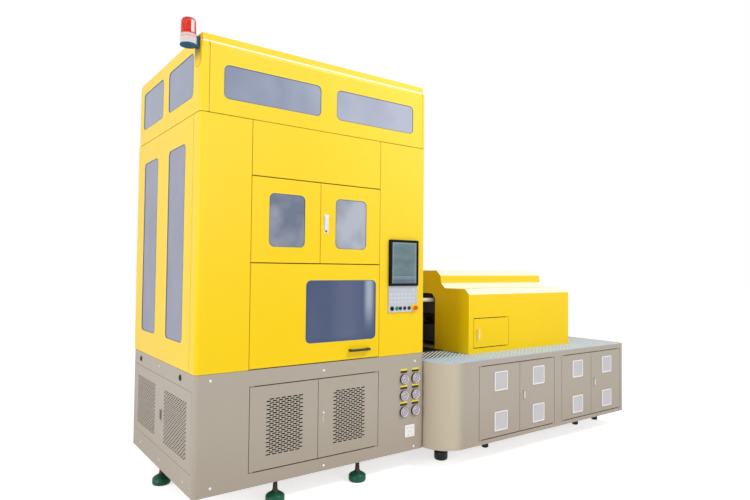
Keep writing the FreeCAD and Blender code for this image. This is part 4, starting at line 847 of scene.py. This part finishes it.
for windows, place in ((front_windows, front_place), (side_windows, side_place)):
    for name, body, window in windows:
        edge = bead(name, *window, corner_radius, bead_section)
        settle(edge, glazing, body, place)

# ---- Latches and handles -------------------------------------------------------------------------
# The cabinets' slim latches are pale or olive enamel, and the swing latch is plated. The lower door
# has a black moulded bow handle.


def bright_metal(name, tone, rough=0.32):
    """Brushed or plated metal: fine scratches along one axis and faint clouding."""
    material, place = new_finish(name)
    scratch = place.mottle(0.02, 6, 0.7, (1, 1, 30))
    return set_finish(
        material,
        bump=scratch,
        grain=0.00004,
        Base_Color=(place.mottle(0.08, 3) * 0.7).blend(tone, toned(tone, 0.72)),
        Metallic=1.0,
        Roughness=scratch * 0.2 + rough - 0.1,
    )


def moulded(name, tone, rough=0.42):
    """Moulded plastic with a fine spark-eroded skin, rubbed a little shinier in patches."""
    material, place = new_finish(name)
    worn = place.mottle(0.03, 4)
    return set_finish(
        material,
        bump=place.mottle(0.0012, 2),
        grain=0.00008,
        Base_Color=(worn * 0.5).blend(tone, toned(tone, 1.25, 0.004)),
        Roughness=worn * 0.16 + rough - 0.08,
    )


dress(moulded("latch_pale", colour(208, 208, 194), 0.4), "cabinet_latch_2", "cabinet_latch_4")
dress(bright_metal("latch_face", colour(226, 228, 232), 0.3), "upper_door_latch")
dress(moulded("olive_latch", colour(112, 116, 100), 0.5), "side_panel_latch")
dress(moulded("handle_black", colour(20, 20, 22), 0.35), "lower_door_handle")

# ---- Operator panel ------------------------------------------------------------------------------
# A dark moulded monitor housing over a satin key plate. The screen glows a flat grey-green, and the
# row of controls below has a black knob, green and black caps and a red mushroom head.


def screen_glass():
    """The dark housing, and on its front the lit glass with a pale edge and two faint lines."""
    material, place = new_finish("screen_glass")
    x, y, z = place.axes()
    left, right, low, top = right_by(1684.5), right_by(1953.5), up_by(1460.5), up_by(1814.5)
    wave = place.mottle(0.16, 3, 0.5, (1, 1, 2.6))
    tone = (wave * 1.6 - 0.3).blend(colour(88, 114, 122), colour(120, 140, 144))
    tone = (z.below(up_by(1535), 0.02) * 0.6).blend(tone, colour(92, 104, 122))
    for height, strength in ((1516, 0.45), (1500, 0.25)):
        line = abs(z - up_by(height)).below(0.004, 0.003) * strength
        tone = line.blend(tone, colour(186, 202, 206))
    edge = x.below(left + 0.011, 0.002).most(z.above(top - 0.011, 0.002))
    tone = (edge * 0.45).blend(tone, colour(164, 180, 190))
    tone = (x.above(right - 0.022, 0.006) * 0.4).blend(tone, colour(140, 162, 158))
    glass = y.above(back_by(-25.4), 0.0003) * x.inside(left, right, 0.0008)
    glass = glass * z.inside(low, top, 0.0008)
    housing = (place.mottle(0.05, 3) * 0.5).blend(colour(1, 3, 12), colour(5, 9, 24))
    return set_finish(
        material,
        bump=place.mottle(0.0015, 1) * (1 - glass),
        grain=0.00006,
        Base_Color=glass.blend(housing, tone),
        Roughness=0.5 - glass * 0.28,
        Specular_IOR_Level=0.14,
    )


def satin_plate():
    """Satin plate under the screen; the emergency stop's collar is yellow."""
    material, place = new_finish("satin_plate")
    x, y, z = place.axes()
    collar = y.below(back_by(-12.6), 0.0001)
    cloud = place.mottle(0.1, 3)
    tone = cloud.blend(colour(190, 195, 205), colour(181, 187, 198))
    tone = (z.below(up_by(1270), 0.03) * 0.6).blend(tone, colour(202, 204, 214))
    return set_finish(
        material,
        bump=place.mottle(0.01, 5, 0.7, (20, 1, 1)),
        grain=0.00004,
        Base_Color=collar.blend(tone, colour(244, 206, 20)),
        Metallic=(1 - collar) * 0.2,
        Roughness=0.42 - cloud * 0.08,
    )


def key_tile():
    """A key field: a low rounded pad."""
    tile = bmesh.new()
    bmesh.ops.create_cube(tile, size=1)
    bmesh.ops.scale(tile, vec=(0.034, 0.022, 0.0018), verts=tile.verts)
    upright = [edge for edge in tile.edges if abs(edge.verts[0].co.z - edge.verts[1].co.z) > 0.001]
    bmesh.ops.bevel(tile, geom=upright, offset=0.004, segments=3, affect="EDGES")
    return link("key_tile", tile)


def on_plate(x, z):
    """A spot on the key plate's front."""
    return at(x, -12, z), FRONT


dress(screen_glass(), "screen_housing")
dress(satin_plate(), "key_plate")
key_columns = range(1682, 1929, 41)
key_spots = [on_plate(x, z) for x in key_columns for z in (1300, 1333, 1366)]
key_spots.append(on_plate(key_columns[-1], 1399))
key_field = moulded("key_field", colour(194, 198, 208), 0.4)
scatter("membrane_keys", key_tile(), key_spots, key_field)

controls_height = 1245
black_moulding = moulded("cap_black", colour(18, 18, 22), 0.3)
button_green = moulded("cap_green", colour(16, 138, 92), 0.3)
collar_outline = [(11.5, 0), (11.5, 5.2), (12.8, 6), (15.2, 5.2), (16.5, 3), (16.5, 0)]
collars = [
    ("control_collars", (1786, 1834, 1883), 1.0, black_moulding, "black_plastic"),
    ("selector_collar", (1694,), 1.2, black_moulding, "black_plastic"),
    ("start_collar", (1748,), 1.05, button_green, "green_plastic"),
]
for name, places, size, finish, slot in collars:
    spots = [on_plate(x, controls_height) for x in places]
    scatter(name, turned_form("collar", collar_outline, 32), spots, finish, size)

surround_yellow = moulded("surround_yellow", colour(246, 208, 22), 0.4)
surround = at(1914, -15.5, 1214), at(1974, -12, 1276)
soft_box("stop_surround", *surround, 0.0012, surround_yellow, "cream_enamel")
stem_outline = [(10.5, 9.5), (10.5, 17.5), (18.5, 18.5)]
head_outline = [(19.8, 20.5), (19.8, 25.5), (18.5, 28.5), (14, 30.2), (7, 30.9), (0, 31)]
mushroom = turned_form("mushroom_head", stem_outline + head_outline, 40)
head_spot = [on_plate(1944, controls_height)]
head_red = moulded("head_red", colour(222, 52, 36), 0.3)
stop_body = "emergency_stop_body"
stop_head = scatter("stop_head", mushroom, head_spot, head_red, body=stop_body)
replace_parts(stop_head, "emergency_stop")
dress(black_moulding, "stop_button", "mode_button", "reset_button", "selector_knob")
dress(button_green, "start_button")

# ---- Pressure gauges -----------------------------------------------------------------------------
# Steel cases with a rolled bezel, a pale dial with ticks and a dark needle under a clear lens. Over
# each gauge a small label strip is glued on: a yellow field above a black one.


def machined(name, tone, rough, metal=1.0):
    """Turned or ground metal, or cast iron under paint, with fine tool marks."""
    material, place = new_finish(name)
    swirl = place.mottle(0.012, 5, 0.7, (1, 1, 6))
    return set_finish(
        material,
        bump=swirl,
        grain=0.00006,
        Base_Color=(place.mottle(0.2, 4) * 0.8).blend(tone, toned(tone, 0.7)),
        Metallic=metal,
        Roughness=swirl * 0.15 + rough - 0.07,
    )


def dial_face():
    """A printed dial: ticks round three quarters of a turn, on the disc's own UV map."""
    material, place = new_finish("dial_face", "UV")
    u, v, w = place.axes()
    across, rise = u - 0.5, v - 0.5
    span = across.sum("SQRT", across * across + rise * rise)
    angle = across.sum("ARCTAN2", across, rise) * (1 / (2 * math.pi))
    scale = abs(angle).below(0.385, 0.004)
    fine = abs((angle * 50 + 100).part() - 0.5).above(0.36, 0.05) * span.inside(0.4, 0.44, 0.006)
    coarse = abs((angle * 10 + 100).part() - 0.5).above(0.465, 0.01)
    coarse = coarse * span.inside(0.35, 0.44, 0.006)
    ring = abs(span - 0.4).below(0.005, 0.003)
    ink = fine.most(coarse).most(ring) * scale
    zone = span.inside(0.27, 0.335, 0.012) * 0.75
    tone = place.mottle(0.2, 3).blend(colour(206, 198, 208), colour(182, 172, 184))
    tone = zone.blend(tone, colour(86, 74, 84))
    return set_finish(material, Base_Color=ink.blend(tone, colour(40, 40, 46)), Roughness=0.4)


def dial_disc():
    """The dial, with its own flat UV map."""
    disc = turned_form("dial", [(36.8, 12.2), (36.8, 12.8), (0, 12.8)], 40)
    layer = disc.data.uv_layers.new(name="UVMap")
    map_width = 0.08
    for loop in disc.data.loops:
        x, y, z = disc.data.vertices[loop.vertex_index].co
        layer.data[loop.index].uv = (x / map_width + 0.5, y / map_width + 0.5)
    return disc


def needle_form():
    """A tapered needle over a round hub, pointing down and to the left."""
    outline = [(-2.6, -12), (2.6, -12), (1, 29), (-1, 29)]
    needle = prism("needle", *[[(x, y, z) for x, y in outline] for z in (13.4, 14.2)])
    needle.data.transform(Matrix.Rotation(math.radians(-42), 4, "Z"))
    hub = turned_form("hub", [(6, 12.9), (6, 14.8), (4.5, 15.6), (0, 15.7)], 20)
    return joined("needle", [needle, hub])


def clear_lens():
    """Clear plastic, domed a little over the dial."""
    material, place = new_finish("clear_lens")
    haze = place.mottle(0.02, 3)
    rough, alpha = haze * 0.05 + 0.03, haze * 0.06 + 0.1
    return set_finish(material, Base_Color=colour(240, 242, 246), Roughness=rough, Alpha=alpha)


gauge_places = [(x, z) for x in (1841, 1970) for z in (628, 487, 346)]
gauge_spots = [(at(x, 0, z), FRONT) for x, z in gauge_places]
case_side = [(44.8, 0), (44.8, 14.5), (44.2, 16.8), (42.8, 17.4)]
case_floor = [(40.5, 17.4), (40.5, 11.5), (0, 11.5)]
rim_front = [(41.6, 17.2), (41.2, 18.4), (39.6, 18.6), (37.8, 17.2)]
rim_back = [(37, 14.5), (37, 11.9), (41.6, 11.9)]
lens_outline = [(37.1, 15), (37.1, 15.6), (30, 16.6), (15, 17.4), (0, 17.7)]
case = turned_form("case", case_side + case_floor, 48)
rim = turned_form("rim", rim_front + rim_back, 48, ring_shaped=True)
lens = turned_form("lens", lens_outline, 40)
dark_case = machined("dark_case", colour(74, 66, 60), 0.4, 0.4)
rim_steel = machined("rim_steel", colour(236, 228, 232), 0.3, 0.5)
needle_black = moulded("needle_black", colour(30, 30, 34), 0.4)
cases = scatter("gauge_cases", case, gauge_spots, dark_case)
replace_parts(cases, "pressure_gauges")
scatter("gauge_rims", rim, gauge_spots, rim_steel)
scatter("gauge_dials", dial_disc(), gauge_spots, dial_face())
scatter("gauge_needles", needle_form(), gauge_spots, needle_black)
scatter("gauge_lenses", lens, gauge_spots, clear_lens())

label_yellow = moulded("label_yellow", colour(242, 214, 40), 0.4)
label_black = moulded("label_black", colour(4, 3, 8), 0.7)
labels = [
    ("label_yellow", 2.2, 72, 88, label_yellow, "cream_enamel"),
    ("label_black", 2.6, 54, 72, label_black, "black_plastic"),
]
for number, (x, z) in enumerate(gauge_places):
    for name, proud, low, high, finish, slot in labels:
        field = at(x - 37.5, -proud, z + low), at(x + 37.5, 0, z + high)
        soft_box(f"{name}_{number}", *field, 0.0008, finish, slot)

# ---- Socket plate --------------------------------------------------------------------------------
# A double socket plate of white moulded plastic, fixed flat on the base's front near its right
# edge. Its pin openings are small and grey.


def socket_face():
    """White plastic with its pin openings, each placed in mm from the plate's middle."""
    material, place = new_finish("socket_face")
    x, y, z = place.axes()
    dx, dz = x - right_by(1908), z - up_by(173)
    marks = None
    for left, low in ((-24, 26), (0, 31), (24, 26), (-12, -4), (12, -4), (-18, -32), (18, -32)):
        pin = abs(dx - left / 1000).below(0.0028) * abs(dz - low / 1000).below(0.0065)
        marks = marks.most(pin) if marks else pin
    marks = marks * y.below(back_by(-6), 0.0003)
    cloud = place.mottle(0.03, 3)
    tone = cloud.blend(colour(246, 244, 242), colour(230, 228, 226))
    return set_finish(
        material,
        bump=place.mottle(0.0012, 1),
        grain=0.00004,
        Base_Color=marks.blend(tone, colour(150, 146, 146)),
        Roughness=cloud * 0.1 + 0.3,
    )


socket_corners = at(1853, -8, 120), at(1963, 0, 226)
soft_box("socket_plate", *socket_corners, 0.003, socket_face(), "white_enamel")

# ---- Beacon --------------------------------------------------------------------------------------
# A flashing signal lamp: ribbed red lens on a milky lamp body over a blue moulded base plate,
# bolted to a bracket at the hood's corner.

UP = (0, 0, 1)
beacon_foot = at(-76, 45, 3193)
beacon_ribs = 24


def lens_red():
    """Clear red plastic: bright patches where the reflector shows through, a painted highlight
    down one side, and dark at its top.
    """
    material, place = new_finish("lens_red")
    x, y, z = place.axes()
    angle = x.sum("ARCTAN2", y - beacon_foot.y, x - beacon_foot.x) * (1 / (2 * math.pi))
    facet = abs((angle * beacon_ribs + beacon_ribs).part() - 0.5) * 2
    glow = place.mottle(0.028, 3)
    pale = (glow * 2.2 - 0.95).least(1.0).most(0.0)
    tone = (facet * 0.7).blend(colour(232, 26, 22), colour(140, 4, 10))
    tone = (pale * 0.7).blend(tone, colour(255, 120, 84))
    # Painted highlight: a bright upright stripe down one side of the lens.
    bright = abs(angle + 0.2).below(0.035, 0.012) * z.inside(up_by(3205), up_by(3285), 0.01)
    tone = (bright * 0.85).blend(tone, colour(255, 226, 222))
    tone = z.above(up_by(3300), 0.005).blend(tone, colour(96, 8, 12))
    rough = glow * 0.1 + 0.14
    return set_finish(material, Base_Color=tone, Roughness=rough, Specular_IOR_Level=0.35)


def beacon_finish():
    """Blue base plate and block, and the milky white body above the plate."""
    material, place = new_finish("beacon_finish")
    x, y, z = place.axes()
    dx, dy = x - beacon_foot.x, y - beacon_foot.y
    body_radius = 0.0553
    body = (dx * dx + dy * dy).below(body_radius**2, 0.00001) * z.above(up_by(3125.5), 0.0003)
    milk = place.mottle(0.03, 3).blend(colour(226, 214, 212), colour(208, 194, 190))
    band = z.inside(up_by(3170), up_by(3177), 0.003) + z.above(up_by(3188), 0.002)
    milk = (band * 0.55).blend(milk, colour(222, 120, 120))
    blue = place.mottle(0.03, 4).blend(colour(0, 74, 112), colour(2, 92, 128))
    return set_finish(
        material,
        bump=place.mottle(0.0012, 2),
        grain=0.00006,
        Base_Color=body.blend(blue, milk),
        Roughness=0.42 - body * 0.14,
        Specular_IOR_Level=0.25,
    )


lens_side = [(51.5, 0), (52, 6), (51.5, 10), (50.5, 85), (48.5, 99)]
lens_top = [(42, 110), (30, 116), (16, 118.2), (0, 119)]
dome_form = turned_form("beacon_dome", lens_side + lens_top, 96, 0.009, beacon_ribs)
dome = scatter("beacon_dome", dome_form, [(beacon_foot, UP)], lens_red())
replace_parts(dome, "beacon_lens")
dress(beacon_finish(), "beacon_base")

# ---- Levelling feet ------------------------------------------------------------------------------
# Cast pads, enamelled green and domed under the tower and nearly black under the long cabinet, each
# on a dark threaded stud. Heights are from the floor.


def foot_finish(name, tone, worn, neck):
    """Enamel up to the neck, a dark sole, and a threaded stud above."""
    material, place = new_finish(name)
    z = place.axes()[2]
    threads_per_metre = 330
    patch = place.mottle(0.03, 4) * 0.8
    stud = place.mottle(0.02, 4).blend(colour(62, 50, 46), colour(34, 28, 28))
    above = z.above(neck, 0.002)
    sole = z.below(0.008, 0.0006)
    tone = sole.blend(patch.blend(tone, worn), colour(16, 22, 20))
    thread = abs((z * threads_per_metre).part() - 0.5) * z.above(0.126, 0.001)
    return set_finish(
        material,
        bump=place.mottle(0.004, 3) * (1 - above) * 0.4 + thread,
        grain=0.0008,
        Base_Color=above.blend(tone, stud),
        Roughness=above * 0.16 + 0.3 + place.mottle(0.01, 3) * 0.1,
        Specular_IOR_Level=0.3,
    )


pad_outline = [(57, 0), (67, 4), (72, 14), (72, 38), (69.5, 40.5), (69.5, 43), (71.8, 45.5)]
dome_outline = [(70, 52), (62, 60), (50, 67.5), (38, 73.5), (29, 79), (23.5, 85)]
neck_outline = [(20.5, 92), (18.5, 104), (18, 122), (16.5, 124), (16.5, 169.5)]
wide_pad = [(46, 0), (57, 6), (63, 18), (63, 74), (60.5, 81), (54, 85)]
slim_pad = [(26, 0), (32, 4), (34, 10), (34, 46), (32, 52)]
tower_feet = [(x, y) for x in (650, 1400) for y in (60, 1540)] + [(60, 905), (1980, 905)]
wide_feet = [(2340, 60), (2340, 1540)]
slim_feet = [(x, y) for x in (2952, 4440, 4820) for y in (80, 1520)]
green = foot_finish("foot_green", colour(0, 94, 64), colour(0, 60, 44), 0.074)
dark = foot_finish("foot_dark", colour(8, 22, 20), colour(16, 20, 20), 0.0855)
tower_outline = pad_outline + dome_outline + neck_outline
wide_outline = wide_pad + [(13.5, 85), (13.5, 169.5)]
slim_outline = slim_pad + [(13.5, 55), (13.5, 169.5)]
foot_kinds = [
    ("tower_feet", tower_outline, tower_feet, green, "foot_green"),
    ("wide_feet", wide_outline, wide_feet, dark, "dark_plastic"),
    ("slim_feet", slim_outline, slim_feet, dark, "dark_plastic"),
]
for name, outline, places, finish, slot in foot_kinds:
    spots = [(at(x, y, -170), UP) for x, y in places]
    feet = scatter(name, turned_form("foot", outline, 48), spots, finish)
    if name == "tower_feet":
        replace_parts(feet, "levelling_feet")

# ---- Tread plate ---------------------------------------------------------------------------------
# Galvanised tread plate on the long cabinet's top, rolled with raised bars in staggered rows.
# Its colours are painted reflection: a pale blue sheen, blue and dark navy with white bars
# beside the tower; under the injection unit it is black, a painted shadow.

bar_lie = math.radians(37)
bar_step, row_step = 84, 34


def tread_finish(name, raised):
    """The plate, and the bars where raised is true."""
    material, place = new_finish(name)
    x, y, z = place.axes()
    worn = place.mottle(0.15, 4)
    spangle = place.mottle(0.02, 2)
    # Painted reflection: a pale blue sheen, and in the gap by the tower a stronger blue and a dark
    # navy.
    pale_sheen = (spangle * 0.5 + worn * 0.4).blend(colour(196, 214, 232), colour(166, 194, 220))
    blue = (spangle * 0.6).blend(colour(70, 140, 176), colour(120, 176, 204))
    navy_reflection = (spangle * 0.6).blend(colour(4, 6, 22), colour(22, 34, 66))
    blue_sheen_zone = x.below(right_by(2760), 0.1) * y.above(back_by(75), 0.06)
    dark = x.below(right_by(2520), 0.1) * y.above(back_by(80), 0.04)
    # Painted shadow: black under the injection unit, between the tower and the cover.
    under = x.below(right_by(2720), 0.02) * y.inside(back_by(385), back_by(1215), 0.03)
    # The painted sheen greys towards the far end.
    far = x.above(right_by(4200), 0.5) * 0.8
    pale_sheen = far.blend(pale_sheen, colour(206, 209, 206))
    tone = dark.blend(blue_sheen_zone.blend(pale_sheen, blue), navy_reflection)
    if raised:
        # Painted reflection on the bars: bluish white, and near white where the plate is painted
        # blue or navy.
        bar_reflection = (spangle * 0.4).blend(colour(206, 222, 234), colour(182, 202, 220))
        tone = dark.most(blue_sheen_zone).blend(bar_reflection, colour(240, 245, 247))
    return set_finish(
        material,
        bump=place.mottle(0.004, 2),
        grain=0.0001,
        Base_Color=under.blend(tone, colour(8, 11, 10)),
        Roughness=worn * 0.2 + 0.4,
        Specular_IOR_Level=0.3,
    )


def raised_bar():
    """One raised bar: a long lens shape with sloping sides."""
    outline = [(-36, 0), (-26, -9), (26, -9), (36, 0), (26, 9), (-26, 9)]
    top = [(x * 0.9, y * 0.75, 1.8) for x, y in outline]
    bar = prism("raised_bar", [(x, y, 0) for x, y in outline], top)
    bar.data.transform(Matrix.Rotation(bar_lie, 4, "Z"))
    return bar


def on_tread(x, y):
    """True where a bar fits: inside the plate with its round corners, and off the cover."""
    corner_x, corner_reach = 2320, 220
    past = max(-y, y - 1600)
    if x < corner_x and past > 0 and math.hypot(x - corner_x, past) > corner_reach:
        return False
    on_top = 2100 < x < 4850 and -222 < y < 1822
    under_cover = 2662 < x < 4301 and 26 < y < 1574
    return on_top and not under_cover


bar_spots = []
plate_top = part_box("tread_plate")[1][2]
middle_x, middle_y = 3475, 800
for row in range(-70, 71):
    for rank in range(-28, 29):
        along, across = bar_step * (rank + (row % 2) / 2), row_step * row
        x = middle_x + along * math.cos(bar_lie) - across * math.sin(bar_lie)
        y = middle_y + along * math.sin(bar_lie) + across * math.cos(bar_lie)
        if on_tread(x, y):
            spot = at(x, y, 0)
            spot.z = plate_top
            bar_spots.append((spot, UP))
scatter("tread_bars", raised_bar(), bar_spots, tread_finish("tread_bars", True))
dress(tread_finish("tread_finish", False), "tread_plate")

# ---- Parts inside the guard and the cover --------------------------------------------------------
# Painted tube for the frame, machined steel and cast iron for the clamp, chromed and ground bars,
# and aluminium for the blow moulds.

steel_parts = "stretch_unit", "turntable", "injection_mould", "injection_screw"
dress(moulded("frame_black", colour(38, 38, 40), 0.5), "guard_frame")
dress(machined("chromed_bar", colour(238, 240, 244), 0.14), "tie_bars")
# Painted reflection: the guide bar's near-white, mostly non-metal colour stands in for its
# reflection of the bright surround.
dress(machined("guide_bar", colour(250, 250, 250), 0.3, 0.2), "injection_guide")
dress(machined("cast_grey", colour(74, 80, 86), 0.55, 0.2), "crown", "moving_platen", "pump_unit")
dress(machined("carriage_black", colour(34, 34, 40), 0.5, 0.1), "injection_carriage")
dress(machined("cut_steel", colour(172, 174, 178), 0.3), *steel_parts)
dress(machined("hot_steel", colour(150, 140, 124), 0.42), "injection_barrel")
alloy = machined("mould_alloy", colour(206, 208, 212), 0.28)
dress(alloy, "blow_mould_outer", "blow_mould_inner")
dress(moulded("gear_pale", colour(214, 214, 208), 0.45), "control_gear")

# ---- Floor, light and camera ---------------------------------------------------------------------
# A plain pale floor and a white surround, lit by large soft lamps, seen from the front left at eye
# height.

floor_half_width = 60
floor_shade = 0.8
floor_glow = 0.68
plain_light = 0.42


def seen_white(tree):
    """1 for rays from the camera, and for those that metal and glass send on."""
    kinds = ("Is Camera Ray", "Is Glossy Ray", "Is Transmission Ray")
    first, *others = [Wire(tree).node("ShaderNodeLightPath", {}, {}, kind) for kind in kinds]
    for other in others:
        first = first.most(other)
    return first


form = bmesh.new()
bmesh.ops.create_grid(form, x_segments=1, y_segments=1, size=floor_half_width)
floor = link("floor", form)
floor_paint = bpy.data.materials.new("floor_paint")
floor_paint.use_nodes = True
set_finish(
    floor_paint,
    Base_Color=(floor_shade, floor_shade, floor_shade, 1),
    Roughness=0.9,
    Emission_Color=(1, 1, 1, 1),
    Emission_Strength=seen_white(floor_paint.node_tree) * floor_glow,
)
floor.data.materials.append(floor_paint)

world = bpy.data.worlds.new("surround")
bpy.context.scene.world = world
world.use_nodes = True
sky = world.node_tree.nodes["Background"]
sky.inputs["Color"].default_value = (1, 1, 1, 1)
sky_strength = seen_white(world.node_tree) * (1 - plain_light) + plain_light
world.node_tree.links.new(sky_strength.socket, sky.inputs["Strength"])


def soft_lamp(name, place, target, size, power):
    light = bpy.data.lights.new(name, "AREA")
    light.shape = "RECTANGLE"
    light.size, light.size_y = size
    light.energy = power
    lamp = put(name, light)
    lamp.location = place
    lamp.rotation_euler = (Vector(target) - Vector(place)).to_track_quat("-Z", "Y").to_euler()


soft_lamp("key_lamp", (2.85, -6.6, 8.6), (-0.5, -0.8, 1.2), (2.5, 2.5), 420)
soft_lamp("left_lamp", (-9.5, -1.8, 3.0), (-2, 0, 1.6), (4, 3), 310)
soft_lamp("near_lamp", (-0.2, -10.5, 4.0), (0.2, -0.5, 1.4), (4, 3), 190)

scene = bpy.context.scene
scene.view_settings.view_transform = "Standard"
lens = bpy.data.cameras.new("camera")
lens.sensor_width = 36
lens.lens = 27.579
camera = put("camera", lens)
eye = (-3.73103, -4.70067, 1.75841)
yaw, pitch, roll = 0.6337, 0.0319, 0.0104
level = math.cos(pitch)
ahead = Vector((math.sin(yaw) * level, math.cos(yaw) * level, math.sin(pitch)))
right = Vector((math.cos(yaw), -math.sin(yaw), 0))
upward = right.cross(ahead)
right_rolled = right * math.cos(roll) + upward * math.sin(roll)
up_rolled = upward * math.cos(roll) - right * math.sin(roll)
turn = Matrix((right_rolled, up_rolled, -ahead)).transposed().to_4x4()
camera.matrix_world = Matrix.Translation(eye) @ turn
scene.camera = camera
